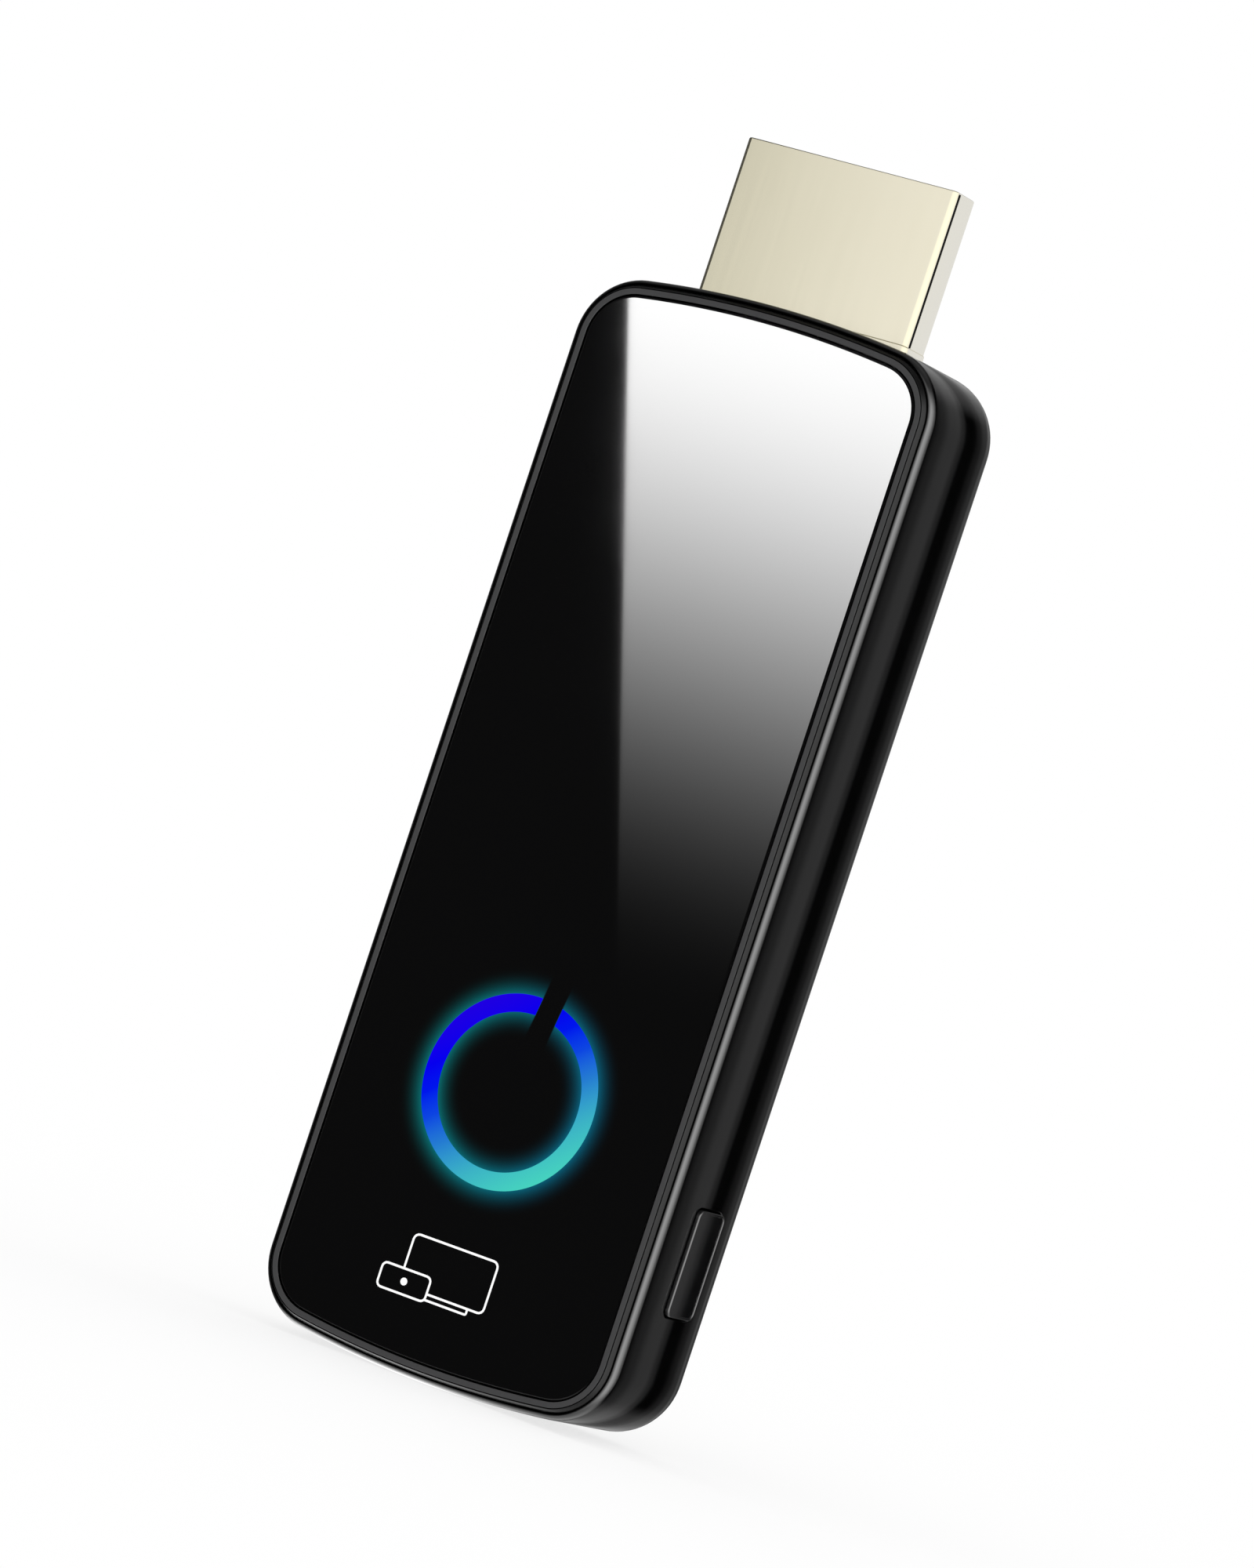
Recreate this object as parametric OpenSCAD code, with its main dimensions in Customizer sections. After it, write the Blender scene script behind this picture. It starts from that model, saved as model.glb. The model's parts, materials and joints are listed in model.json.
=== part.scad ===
// Streaming media player: a slim casing with a video plug at one end.
// +Z runs out of the casing along the plug, the front panel faces -Y and the side button is on +X.
// The origin is on the plug's axis, level with the crown of the casing's plug end. Millimetres.

/* [Casing] */
// Width of the casing across its long sides
body_w = 23.6; // [23:0.1:30]
// Length of the casing between the crowns of its two ends
body_h = 63.6; // [53:0.1:80]
// Thickness of the casing with the front panel
body_t = 10.2; // [10.2:0.1:14]
// Radius of the bulged ends
end_r = 66.6; // [50:0.5:120]
// Radius of the four corners
corner_r = 3.9; // [3:0.05:6]
// Wall of the sides and ends
wall_t = 1.2; // [1:0.05:1.6]
// Wall of the back
back_t = 1.2; // [0.8:0.05:1.5]
// Rounding of the back edge
back_round = 2.45; // [1:0.05:3]
// Rounding of the front edge of the rim
front_round = 0.3; // [0.1:0.01:0.3]
// How far the rim lies behind the front plane
rim_set = 0.31; // [0.1:0.01:0.5]
// Thickness of the rim beside the bezel
rim_t = 0.3; // [0.3:0.01:0.6]

/* [Front bezel] */
// Gap between the bezel and the rim
parting_gap = 0.05; // [0.02:0.01:0.15]
// Flat front face of the bezel
bezel_flat = 0.36; // [0.2:0.01:1]
// Chamfer round the bezel
bezel_chamfer = 0.26; // [0.1:0.01:0.5]
// Depth of the bezel behind the front plane
bezel_depth = 1.7; // [1.4:0.05:2.2]
// Width of the shelf that carries the panel
shelf_w = 1.2; // [0.8:0.05:2]
// Length of each snap hook
hook_len = 4; // [2:0.1:6]
// Reach of a snap hook below the bezel
hook_drop = 1.5; // [1:0.05:1.6]
// Catch of a snap hook in the side wall
hook_catch = 0.35; // [0.2:0.01:0.5]
// Distance of the upper hooks from the plug end
hook_from_top = 14; // [8:0.5:20]
// Distance of the lower hooks from the foot end
hook_from_foot = 23; // [19:0.5:26]

/* [Front panel] */
// Thickness of the panel
panel_t = 0.8; // [0.5:0.05:1]
// Gap round the panel
panel_gap = 0.06; // [0.02:0.01:0.15]
// Thickness of the adhesive under the panel
adhesive_t = 0.1; // [0.05:0.01:0.2]
// Outer radius of the light ring
ring_r = 5.58; // [4:0.01:6.2]
// Width of the light ring
ring_w = 1.04; // [0.6:0.01:1.5]
// Height of the ring's centre above the foot end
ring_up = 17; // [15:0.1:20]
// Width of the dark notch in the ring
notch_w = 1.42; // [0.8:0.01:2]
// Sideways place of the notch
notch_x = 0.14; // [-1:0.01:1.5]
// Lean of the notch toward the button side, in degrees
notch_turn = 7.6; // [0:0.1:15]
// Height of the icon's centre above the foot end
icon_up = 6.3; // [5:0.1:8]
// Depth of the icon's print
print_t = 0.04; // [0.02:0.01:0.1]
// Width of the icon's lines
line_w = 0.13; // [0.1:0.01:0.3]

/* [Side button] */
// Length of the button
button_len = 6.23; // [5:0.01:8]
// Width of the button
button_w = 3.2; // [2.4:0.05:3.6]
// Corner radius of the button
button_r = 0.5; // [0.3:0.05:1]
// How far the button stands proud
button_proud = 0.25; // [0.1:0.01:0.5]
// Travel of the button
button_travel = 0.25; // [0.15:0.01:0.3]
// Gap round the button
button_gap = 0.1; // [0.05:0.01:0.2]
// Height of the button's centre above the foot end
button_up = 11.1; // [10:0.1:14]

/* [Video plug] */
// Width of the plug
plug_w = 13.9; // [13.9:0.01:14.2]
// Thickness of the plug
plug_t = 4.45; // [4.4:0.01:4.6]
// Length of the plug outside the casing
plug_len = 9.3; // [9:0.1:12]
// How far the plug's axis lies behind the casing's middle
plug_y = 1; // [0:0.05:1.2]
// Straight part of the plug's sides
plug_side = 2.4; // [1.5:0.05:3]
// Width of the plug's narrow face
plug_narrow = 10.7; // [9:0.1:12]
// Sheet thickness of the plug's shell
plug_sheet = 0.3; // [0.2:0.01:0.4]
// Gap round the plug in the casing
plug_gap = 0.08; // [0.04:0.01:0.2]

/* [Power inlet] */
// Width of the inlet's shell
inlet_w = 7.5; // [7.4:0.01:7.6]
// Height of the inlet's shell
inlet_t = 2.5; // [2.4:0.01:2.6]
// Depth of the inlet's shell
inlet_len = 5.5; // [5:0.1:5.6]
// Height of the inlet's centre above the foot end
inlet_up = 9; // [8.5:0.1:11]

/* [Board] */
// Thickness of the board
board_t = 1; // [0.8:0.05:1.2]
// Gap round the board
board_gap = 0.6; // [0.4:0.05:1]
// Distance of the board's edge from the plug end
board_from_top = 3; // [2.6:0.1:4]
// Diameter of the board screws
screw_d = 1.6; // [1.4:0.1:2]
// Head diameter of the board screws
screw_head_d = 3; // [2.6:0.1:3.2]
// Distance of the screws from the casing's sides
screw_in = 4.2; // [4:0.1:4.6]
// Distance of the upper screw from the plug end
screw_from_top = 10.5; // [9.5:0.1:12]
// Distance of the lower screw from the foot end
screw_from_foot = 4.6; // [4.4:0.05:5]

/* [Heat and shielding] */
// Side of the processor package
processor_w = 13; // [10:0.5:14]
// Thickness of the processor package
processor_t = 1.2; // [0.8:0.05:1.4]
// Thickness of the heat spreader
spreader_t = 0.6; // [0.3:0.05:0.8]
// Height of the shield over the radio
shield_t = 1.8; // [1.6:0.05:2.2]
// Sheet thickness of the shield
shield_sheet = 0.2; // [0.1:0.01:0.25]

/* [Hidden] */
$fn = 48;

cut = 0.5;                              // how far a cut runs past the face it opens
slice = 0.01;                           // how far two solids of one piece run into each other
slip = 0.05;                            // easy clearance between pieces that slide together

// Planes of the casing
front_y = -body_t / 2;                  // the front plane
back_y = body_t / 2;
foot_z = -body_h;                       // crown of the foot end
seat_y = front_y + bezel_depth;         // where the bezel seats on the walls
cavity_back_y = back_y - back_t;
inner_x = body_w / 2 - wall_t;          // inner face of the side walls
board_front_y = -board_t / 2;
board_back_y = board_t / 2;
board_x = inner_x - board_gap;

// Bezel and panel, inset from the casing's outline
bezel_in = rim_t + parting_gap;
opening_in = bezel_in + bezel_chamfer + bezel_flat;
panel_in = opening_in + panel_gap;
shelf_in = opening_in + shelf_w;
panel_back_y = front_y + panel_t;
hook_t = 0.6;
hook_nib = 0.6;                         // height of the nib that catches in the wall
hook_play = 0.2;                        // room for the hook at each end of its pocket
hook_zs = [-hook_from_top, foot_z + hook_from_foot];
hook_end_y = seat_y + hook_drop;

// Light ring
ring_z = foot_z + ring_up;
guide_flange = 0.4;                     // how far the guide's flange reaches past the ring
guide_back_y = panel_back_y + 0.5;
guide_fit = 0.02;
shroud_wall = 0.6;
led_count = 8;
led_circle = ring_r - ring_w / 2;
led = [0.9, 0.9, 0.5];                  // width, length and height of a lamp chip

// Button and switch, from the outside of the wall inwards along -X
button_z = foot_z + button_up;
flange_t = 0.65;
flange_lip = 0.65;                      // how far the button's flange reaches past its cap
flange_x = inner_x - 0.1;               // outer face of the flange, clear of the wall
nub_t = 0.09;                           // raised centre of the button's back
nub_r = 0.9;
button_back_x = flange_x - flange_t - nub_t;
plunger_r = 0.7;
plunger_fit = 0.08;
plunger_tip_x = button_back_x - slice;
plunger_out = 1.1;                      // how far the plunger stands out of the switch
plunger_disc_t = 0.35;
cover_t = 0.15;
cover_depth = 1.7;                      // how far the cover's sides wrap the switch
cover_foot = 0.85;
cover_x = plunger_tip_x - plunger_out;  // outer face of the switch's cover
switch_face_x = cover_x - cover_t;
switch_depth = 2.5;
switch_len = 6;
switch_t = 2.6;
recess_r = 1.1;
recess_depth = 0.9;
dome_r = 1;
dome_sheet = 0.08;
dome_h = recess_depth - plunger_disc_t - button_travel - 0.1;

// Plug
plug_back_z = -board_from_top + 0.1;    // back of the plug's shell, against the board
plug_nip = 0.3;                         // bevel at the edges of the plug's wide face
plug_leg = [1.6, 3];                    // width and length of the shell's legs on the board
latch = [1.8, 2.2];                     // the two latch windows in the plug's narrow face
latch_x = 2.6;
latch_from_tip = 4.5;
mouth_w = 12.2;                         // the plug's inner mouth
mouth_t = 2.1;
mouth_floor_z = 1.2;
insulator_set = 0.8;                    // how far the insulator lies inside the shell's edge
contact_set = 1.3;
contact_pitch = 1;
contact_w = 0.4;
contact_t = 0.12;
contact_tail = 2.4;
contact_count = 10;                     // on the wide face; the narrow face has one less

// Power inlet, sunk into the board so that it is almost flush with the board's front
inlet_z = foot_z + inlet_up;
inlet_y = board_front_y + slip + inlet_t / 2;
inlet_mouth_x = -body_w / 2 + 0.4;
inlet_end_x = inlet_mouth_x + inlet_len;
inlet_sheet = 0.25;
inlet_gap = 0.15;                       // gap round the inlet in the side wall
inlet_nip = 0.9;                        // bevel at the inlet's narrow side
inlet_ear = [2, 1.2];
tongue_w = 3.8;
tongue_t = 0.6;
tongue_set = 0.7;
tongue_block = 1.2;
inlet_contact = [0.3, 0.1];             // width and thickness
inlet_pitch = 0.65;

// Screws and their bosses
screw_x = body_w / 2 - screw_in;
screws = [[-screw_x, -screw_from_top], [screw_x, foot_z + screw_from_foot]];
screw_head_t = 0.6;
screw_bite = 2.4;                       // how far a screw reaches into its boss
boss_d = screw_d + 1.8;
boss_hole = 3;

// Processor, pad and spreader fill the room between the board and the back wall
spreader_y = cavity_back_y - 0.1 - spreader_t;
spreader_w = 17;
spreader_h = 14;
processor_z = -screw_from_top - boss_d / 2 - 0.8 - spreader_h / 2;
capacitor = [0.8, 1.6, 0.8];
capacitor_rows = 6;
capacitor_pitch = 2.2;

// Shielded radio section on the board's front
shield_w = 16.5;
shield_h = 15;
shield_r = 0.8;
shield_z = -screw_from_top - screw_head_d / 2 - 1.2 - shield_h / 2;
lid_skirt_gap = 0.5;                    // room between the lid's skirt and the board

// Rear label
label_w = 14;
label_h = 26;
label_r = 1;
label_t = 0.1;
label_set = 0.05;                       // how far the label lies below the back face
label_gap = 0.15;
label_z = -26;

// Points of an arc about (cx, cy)
function arc(cx, cy, r, from, to, steps) =
    [for (i = [0:steps]) let (a = from + (to - from) * i / steps) [cx + r * cos(a), cy + r * sin(a)]];

function flip(points) = [for (i = [len(points) - 1:-1:0]) [-points[i][0], points[i][1]]];

// Outline of the casing, inset evenly: straight sides, bulged ends and tangent corners
function outline(inset) =
    let (
        r = corner_r - inset,
        cx = body_w / 2 - corner_r,
        big = end_r - corner_r,
        rise = sqrt(big * big - cx * cx),
        mid = -body_h / 2,
        cz = body_h / 2 - end_r + rise,
        turn = atan2(rise, cx),
        corner = arc(cx, mid + cz, r, 0, turn, 6),
        crown = arc(0, mid + body_h / 2 - end_r, end_r - inset, turn, 180 - turn, 8),
        inner_crown = [for (i = [1:len(crown) - 2]) crown[i]],
        upper = concat(corner, inner_crown, flip(corner)),
        lower = [for (i = [len(upper) - 1:-1:0]) [upper[i][0], 2 * mid - upper[i][1]]]
    )
    concat(upper, lower);

// A rectangle with round corners, centred
function rounded(w, h, r) = concat(
    arc(w / 2 - r, h / 2 - r, r, 0, 90, 4), arc(r - w / 2, h / 2 - r, r, 90, 180, 4),
    arc(r - w / 2, r - h / 2, r, 180, 270, 4), arc(w / 2 - r, r - h / 2, r, 270, 360, 4)
);

// Section of the plug, inset evenly: wide face, straight sides, then slanting in to the narrow face
function plug_section(inset) =
    let (
        hw = plug_w / 2,
        ht = plug_t / 2,
        knee = plug_side - ht,
        run = hw - plug_narrow / 2,
        fall = ht - knee,
        slant = sqrt(run * run + fall * fall),
        nx = fall / slant,
        ny = run / slant,
        c = nx * hw + ny * knee - inset,
        x = hw - inset,
        y = ht - inset,
        nip = plug_nip
    )
    [
        [-x + nip, -y], [x - nip, -y], [x, -y + nip], [x, (c - nx * x) / ny],
        [(c - ny * y) / nx, y], [-(c - ny * y) / nx, y], [-x, (c - nx * x) / ny], [-x, -y + nip]
    ];

// Extrudes a drawing in X and Z from y0 to y1
module slab(y0, y1) {
    translate([0, y1, 0]) rotate([90, 0, 0]) linear_extrude(y1 - y0) children();
}

// Extrudes a drawing in Y and Z from x0 to x1
module across(x0, x1) {
    translate([x0, 0, 0]) rotate([90, 0, 90]) linear_extrude(x1 - x0) children();
}

module block(x, y, z) {
    translate([x[0], y[0], z[0]]) cube([x[1] - x[0], y[1] - y[0], z[1] - z[0]]);
}

// A chip on the board's front (side -1) or back (side 1), centred at x, z
module chip(side, x, z, w, h, t) {
    low = side < 0 ? board_front_y - t : board_back_y;
    block([x - w / 2, x + w / 2], [low, low + t], [z - h / 2, z + h / 2]);
}

// A solid through levels of the casing's outline, each level [y, inset], from the front to the back
module loft(levels) {
    n = len(outline(0));
    last = len(levels) - 1;
    polyhedron(
        points = [for (level = levels, p = outline(level[1])) [p[0], level[0], p[1]]],
        faces = concat(
            [[for (i = [n - 1:-1:0]) i], [for (i = [0:n - 1]) last * n + i]],
            [for (k = [0:last - 1], i = [0:n - 1])
                [k * n + i, k * n + (i + 1) % n, (k + 1) * n + (i + 1) % n, (k + 1) * n + i]]
        )
    );
}

// Levels of a slab of the casing's outline from y0 to y1, with a rounded front and back edge
function levels(inset, y0, y1, front_r, back_r) = concat(
    front_r > 0 ? [for (a = [90:-30:0]) [y0 + front_r * (1 - sin(a)), inset + front_r * (1 - cos(a))]]
        : [[y0, inset]],
    back_r > 0 ? [for (a = [0:15:90]) [y1 - back_r * (1 - sin(a)), inset + back_r * (1 - cos(a))]]
        : [[y1, inset]]
);

// The light ring: an annulus with one straight notch, widened by grow
module ring_shape(outer, inner, grow) {
    difference() {
        circle(outer + grow, $fn = 96);
        circle(inner - grow, $fn = 96);
        rotate(-notch_turn) translate([notch_x - notch_w / 2 + grow, 0])
            square([notch_w - 2 * grow, outer + 1]);
    }
}

// Outline of the icon: a screen on a thin foot, with a smaller screen and its dot in front
module icon_shape() {
    screen = [5.66, 3.02];
    small = [3.26, 1.42];
    small_at = [-2.57, -1.28];
    foot_h = 0.34;
    module frame_line(w, h, r) {
        difference() {
            polygon(rounded(w + line_w, h + line_w, r + line_w / 2));
            polygon(rounded(w - line_w, h - line_w, r - line_w / 2));
        }
    }
    difference() {
        union() {
            frame_line(screen[0], screen[1], 0.35);
            translate([0.23, -screen[1] / 2 - foot_h / 2]) frame_line(3.2, foot_h, 0.1);
        }
        translate(small_at) polygon(rounded(small[0], small[1], 0.3));
    }
    translate(small_at) frame_line(small[0], small[1], 0.3);
    translate(small_at) circle(0.22, $fn = 24);
}

module rear_housing() {
    color([0.09, 0.09, 0.095]) difference() {
        union() {
            difference() {
                loft(levels(0, front_y + rim_set, back_y, front_round, back_round));
                loft(levels(wall_t, front_y - cut, cavity_back_y, 0, max(0, back_round - back_t)));
                slab(front_y - cut, seat_y) polygon(outline(rim_t));
            }
            for (at = screws) translate([at[0], 0, at[1]])
                rotate([-90, 0, 0]) translate([0, 0, board_back_y])
                    cylinder(h = cavity_back_y - board_back_y + 0.2, d = boss_d);
        }
        for (at = screws) translate([at[0], board_back_y - cut, at[1]])
            rotate([-90, 0, 0]) cylinder(h = boss_hole + cut, d = screw_d);
        for (side = [0, 1], z = hook_zs) mirror([side, 0, 0])
            block([inner_x - cut, inner_x + hook_catch + slip],
                [hook_end_y - hook_nib - hook_play / 2, hook_end_y + hook_play / 2],
                [z - hook_len / 2 - hook_play, z + hook_len / 2 + hook_play]);
        translate([0, plug_y, -wall_t - 1]) linear_extrude(wall_t + 1 + cut)
            polygon(plug_section(-plug_gap));
        across(inner_x - cut, body_w / 2 + cut) translate([0, button_z])
            polygon(rounded(button_w + 2 * button_gap, button_len + 2 * button_gap, button_r + button_gap));
        across(-body_w / 2 - cut, -inner_x + cut) translate([inlet_y, inlet_z])
            polygon(rounded(inlet_t + 2 * inlet_gap, inlet_w + 2 * inlet_gap, 0.4));
        slab(back_y - label_t - label_set, back_y + cut) translate([0, label_z])
            polygon(rounded(label_w + 2 * label_gap, label_h + 2 * label_gap, label_r + label_gap));
    }
}

module front_bezel() {
    color([0.26, 0.26, 0.27]) {
        difference() {
            loft([
                [front_y, bezel_in + bezel_chamfer], [front_y + bezel_chamfer, bezel_in], [seat_y, bezel_in]
            ]);
            slab(front_y - cut, panel_back_y + adhesive_t) polygon(outline(opening_in));
            slab(front_y, seat_y + cut) polygon(outline(shelf_in));
        }
        for (side = [0, 1], z = hook_zs) mirror([side, 0, 0]) translate([inner_x - slip, 0, z]) {
            block([-hook_t, 0], [seat_y - slice, hook_end_y], [-hook_len / 2, hook_len / 2]);
            block([-slice, hook_catch], [hook_end_y - hook_nib, hook_end_y], [-hook_len / 2, hook_len / 2]);
        }
    }
}

module front_panel() {
    color([0.03, 0.03, 0.032]) difference() {
        slab(front_y, panel_back_y) polygon(outline(panel_in));
        slab(front_y - cut, panel_back_y + cut) translate([0, ring_z])
            ring_shape(ring_r, ring_r - ring_w, guide_fit);
        slab(front_y - cut, front_y + print_t) translate([0, foot_z + icon_up]) icon_shape();
    }
}

module panel_adhesive() {
    color([0.7, 0.7, 0.66]) slab(panel_back_y, panel_back_y + adhesive_t) difference() {
        polygon(outline(panel_in + slip));
        polygon(outline(shelf_in));
    }
}

module panel_icon() {
    color("white") slab(front_y, front_y + print_t) translate([0, foot_z + icon_up]) icon_shape();
}

module light_guide() {
    color([0.1, 0.3, 0.95]) translate([0, 0, ring_z]) {
        slab(front_y, panel_back_y + slice) ring_shape(ring_r, ring_r - ring_w, 0);
        slab(panel_back_y, guide_back_y) ring_shape(ring_r + guide_flange, ring_r - ring_w - guide_flange, 0);
    }
}

module light_shroud() {
    color([0.85, 0.85, 0.83]) translate([0, 0, ring_z]) slab(guide_back_y + slip, board_front_y) {
        difference() {
            circle(ring_r + shroud_wall);
            circle(ring_r);
        }
        difference() {
            circle(ring_r - ring_w);
            circle(ring_r - ring_w - shroud_wall);
        }
    }
}

module ring_leds() {
    color("lightyellow") for (i = [0:led_count - 1]) {
        a = 360 * (i + 0.5) / led_count;
        translate([led_circle * sin(a), 0, ring_z + led_circle * cos(a)]) rotate([0, a, 0])
            block([-led[0] / 2, led[0] / 2], [board_front_y - led[2], board_front_y],
                [-led[1] / 2, led[1] / 2]);
    }
}

module side_button() {
    color([0.1, 0.1, 0.105]) translate([0, 0, button_z]) {
        across(flange_x - slice, body_w / 2 + button_proud) polygon(rounded(button_w, button_len, button_r));
        across(flange_x - flange_t, flange_x)
            polygon(rounded(button_w + 2 * flange_lip, button_len + 2 * flange_lip, button_r));
        translate([button_back_x, 0, 0]) rotate([0, 90, 0])
            cylinder(h = nub_t + slice, r = nub_r);
    }
}

module switch_plunger() {
    disc_x = switch_face_x - plunger_disc_t - plunger_fit / 4;
    color([0.12, 0.12, 0.12]) translate([disc_x, 0, button_z]) rotate([0, 90, 0]) {
        cylinder(h = plunger_disc_t, r = recess_r - plunger_fit);
        cylinder(h = plunger_tip_x - disc_x, r = plunger_r);
    }
}

module switch_body() {
    color([0.15, 0.15, 0.16]) difference() {
        block([switch_face_x - switch_depth, switch_face_x], [-switch_t / 2, switch_t / 2],
            [button_z - switch_len / 2, button_z + switch_len / 2]);
        translate([switch_face_x - recess_depth, 0, button_z]) rotate([0, 90, 0])
            cylinder(h = recess_depth + cut, r = recess_r);
    }
}

module switch_dome() {
    ball = (dome_r * dome_r + dome_h * dome_h) / (2 * dome_h);
    color("silver") translate([switch_face_x - recess_depth, 0, button_z]) rotate([0, 90, 0])
        intersection() {
            translate([0, 0, dome_h - ball]) difference() {
                sphere(ball);
                sphere(ball - dome_sheet);
            }
            cylinder(h = dome_h + cut, r = dome_r);
        }
}

module switch_cover() {
    color("silver") translate([0, 0, button_z]) {
        difference() {
            block([switch_face_x, cover_x], [-switch_t / 2, switch_t / 2], [-switch_len / 2, switch_len / 2]);
            translate([switch_face_x - cut, 0, 0]) rotate([0, 90, 0])
                cylinder(h = cover_t + 2 * cut, r = plunger_r + plunger_fit);
        }
        for (side = [0, 1]) mirror([0, 0, side]) {
            block([cover_x - cover_depth, cover_x], [-switch_t / 2, board_back_y + cover_t],
                [switch_len / 2, switch_len / 2 + cover_t]);
            block([cover_x - cover_depth, cover_x], [board_back_y, board_back_y + cover_t],
                [switch_len / 2, switch_len / 2 + cover_t + cover_foot]);
        }
    }
}

module main_board() {
    switch_half = switch_len / 2 + cover_t + slip;
    flange_half = button_len / 2 + flange_lip + 0.3;
    inlet_half = inlet_w / 2 + 0.1;
    color([0.05, 0.32, 0.16]) difference() {
        slab(board_front_y, board_back_y) intersection() {
            polygon(outline(wall_t + board_gap));
            translate([-board_x, foot_z]) square([2 * board_x, body_h - board_from_top]);
        }
        block([switch_face_x - switch_depth - 0.1, board_x + cut], [-board_t, board_t],
            [button_z - switch_half, button_z + switch_half]);
        block([flange_x - flange_t - button_travel - 0.3, board_x + cut], [-board_t, board_t],
            [button_z - flange_half, button_z + flange_half]);
        block([-board_x - cut, inlet_end_x + 0.1], [-board_t, board_t],
            [inlet_z - inlet_half, inlet_z + inlet_half]);
        for (at = screws) translate([at[0], board_front_y - cut, at[1]]) rotate([-90, 0, 0])
            cylinder(h = board_t + 2 * cut, d = screw_d + 0.2);
    }
}

module board_screws() {
    color("silver") for (at = screws) translate([at[0], board_front_y, at[1]]) rotate([-90, 0, 0]) {
        difference() {
            translate([0, 0, -screw_head_t]) cylinder(h = screw_head_t, d = screw_head_d);
            for (turn = [0, 90]) rotate(turn) translate([-0.75, -0.15, -screw_head_t - cut])
                cube([1.5, 0.3, 0.4 + cut]);
        }
        translate([0, 0, -slice]) cylinder(h = board_t + screw_bite + slice, d = screw_d);
    }
}

module plug_shell() {
    color([0.86, 0.8, 0.62]) {
        translate([0, plug_y, 0]) difference() {
            translate([0, 0, plug_back_z]) linear_extrude(plug_len - plug_back_z) polygon(plug_section(0));
            translate([0, 0, plug_back_z - cut]) linear_extrude(plug_len - plug_back_z + 2 * cut)
                polygon(plug_section(plug_sheet));
            for (side = [-1, 1]) translate([side * latch_x, plug_t / 2, plug_len - latch_from_tip])
                cube([latch[0], 2 * plug_sheet + cut, latch[1]], center = true);
        }
        for (side = [0, 1]) mirror([side, 0, 0]) {
            block([plug_w / 2 - plug_leg[0], plug_w / 2], [board_front_y - plug_sheet, board_front_y],
                [plug_back_z - plug_leg[1], plug_back_z]);
            block([plug_w / 2 - plug_sheet, plug_w / 2], [board_front_y - plug_sheet, board_front_y],
                [plug_back_z - slice, plug_back_z + 1]);
        }
    }
}

// Every contact of the plug: one strip along the mouth, stepping in to a tail on the board
module plug_contact_set() {
    tail_z = plug_back_z - contact_tail;
    tip_z = plug_len - contact_set;
    step = [plug_back_z + 0.3, plug_back_z + 2];
    for (face = [0, 1], i = [0:contact_count - 1 - face]) mirror([0, face, 0]) {
        mouth = -mouth_t / 2 + (face == 0 ? plug_y : -plug_y);
        translate([(i - (contact_count - 1 - face) / 2) * contact_pitch - contact_w / 2, 0, 0])
            rotate([90, 0, 90]) linear_extrude(contact_w) polygon([
                [-board_back_y, tail_z], [-board_back_y, step[0]], [mouth, step[1]], [mouth, tip_z],
                [mouth - contact_t, tip_z], [mouth - contact_t, step[1]],
                [-board_back_y - contact_t, step[0]], [-board_back_y - contact_t, tail_z]
            ]);
    }
}

module plug_insulator() {
    color([0.08, 0.08, 0.08]) difference() {
        translate([0, plug_y, plug_back_z]) linear_extrude(plug_len - insulator_set - plug_back_z)
            polygon(plug_section(plug_sheet + 0.02));
        block([-mouth_w / 2, mouth_w / 2], [plug_y - mouth_t / 2, plug_y + mouth_t / 2],
            [mouth_floor_z, plug_len]);
        plug_contact_set();
    }
}

module plug_contacts() {
    color([0.9, 0.75, 0.35]) plug_contact_set();
}

module inlet_section(inset) {
    w = inlet_w / 2 - inset;
    t = inlet_t / 2 - inset;
    polygon([
        [-t, -w], [t - inlet_nip, -w], [t, -w + inlet_nip],
        [t, w - inlet_nip], [t - inlet_nip, w], [-t, w]
    ]);
}

module inlet_shell() {
    color("silver") {
        difference() {
            across(inlet_mouth_x, inlet_end_x) translate([inlet_y, inlet_z]) inlet_section(0);
            across(inlet_mouth_x - cut, inlet_end_x - inlet_sheet)
                translate([inlet_y, inlet_z]) inlet_section(inlet_sheet);
        }
        for (side = [0, 1]) translate([inlet_end_x - inlet_len / 2, 0, inlet_z]) mirror([0, 0, side])
            block([0, inlet_ear[0]], [board_back_y, board_back_y + inlet_sheet],
                [inlet_w / 2 - inlet_sheet, inlet_w / 2 + inlet_ear[1]]);
    }
}

module inlet_tongue() {
    block_half = inlet_w / 2 - inlet_sheet - 0.4;
    block_end = inlet_end_x - inlet_sheet;
    color([0.08, 0.08, 0.08]) translate([0, inlet_y, inlet_z]) difference() {
        union() {
            block([block_end - tongue_block, block_end], [inlet_sheet - inlet_t / 2, tongue_t / 2],
                [-block_half, block_half]);
            block([inlet_mouth_x + tongue_set, block_end - tongue_block + slice],
                [-tongue_t / 2, tongue_t / 2], [-tongue_w / 2, tongue_w / 2]);
        }
        inlet_contact_set();
    }
}

module inlet_contact_set() {
    for (i = [-2:2]) block([inlet_mouth_x + tongue_set + 0.3, inlet_end_x - inlet_sheet - 0.2],
        [tongue_t / 2 - inlet_contact[1], tongue_t / 2],
        [i * inlet_pitch - inlet_contact[0] / 2, i * inlet_pitch + inlet_contact[0] / 2]);
}

module inlet_contacts() {
    color([0.9, 0.75, 0.35]) translate([0, inlet_y, inlet_z]) inlet_contact_set();
}

module processor() {
    color([0.1, 0.1, 0.11]) chip(1, 0, processor_z, processor_w, processor_w, processor_t);
}

module processor_pad() {
    color([0.45, 0.6, 0.75])
        block([-processor_w / 2, processor_w / 2], [board_back_y + processor_t, spreader_y],
        [processor_z - processor_w / 2, processor_z + processor_w / 2]);
}

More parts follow.
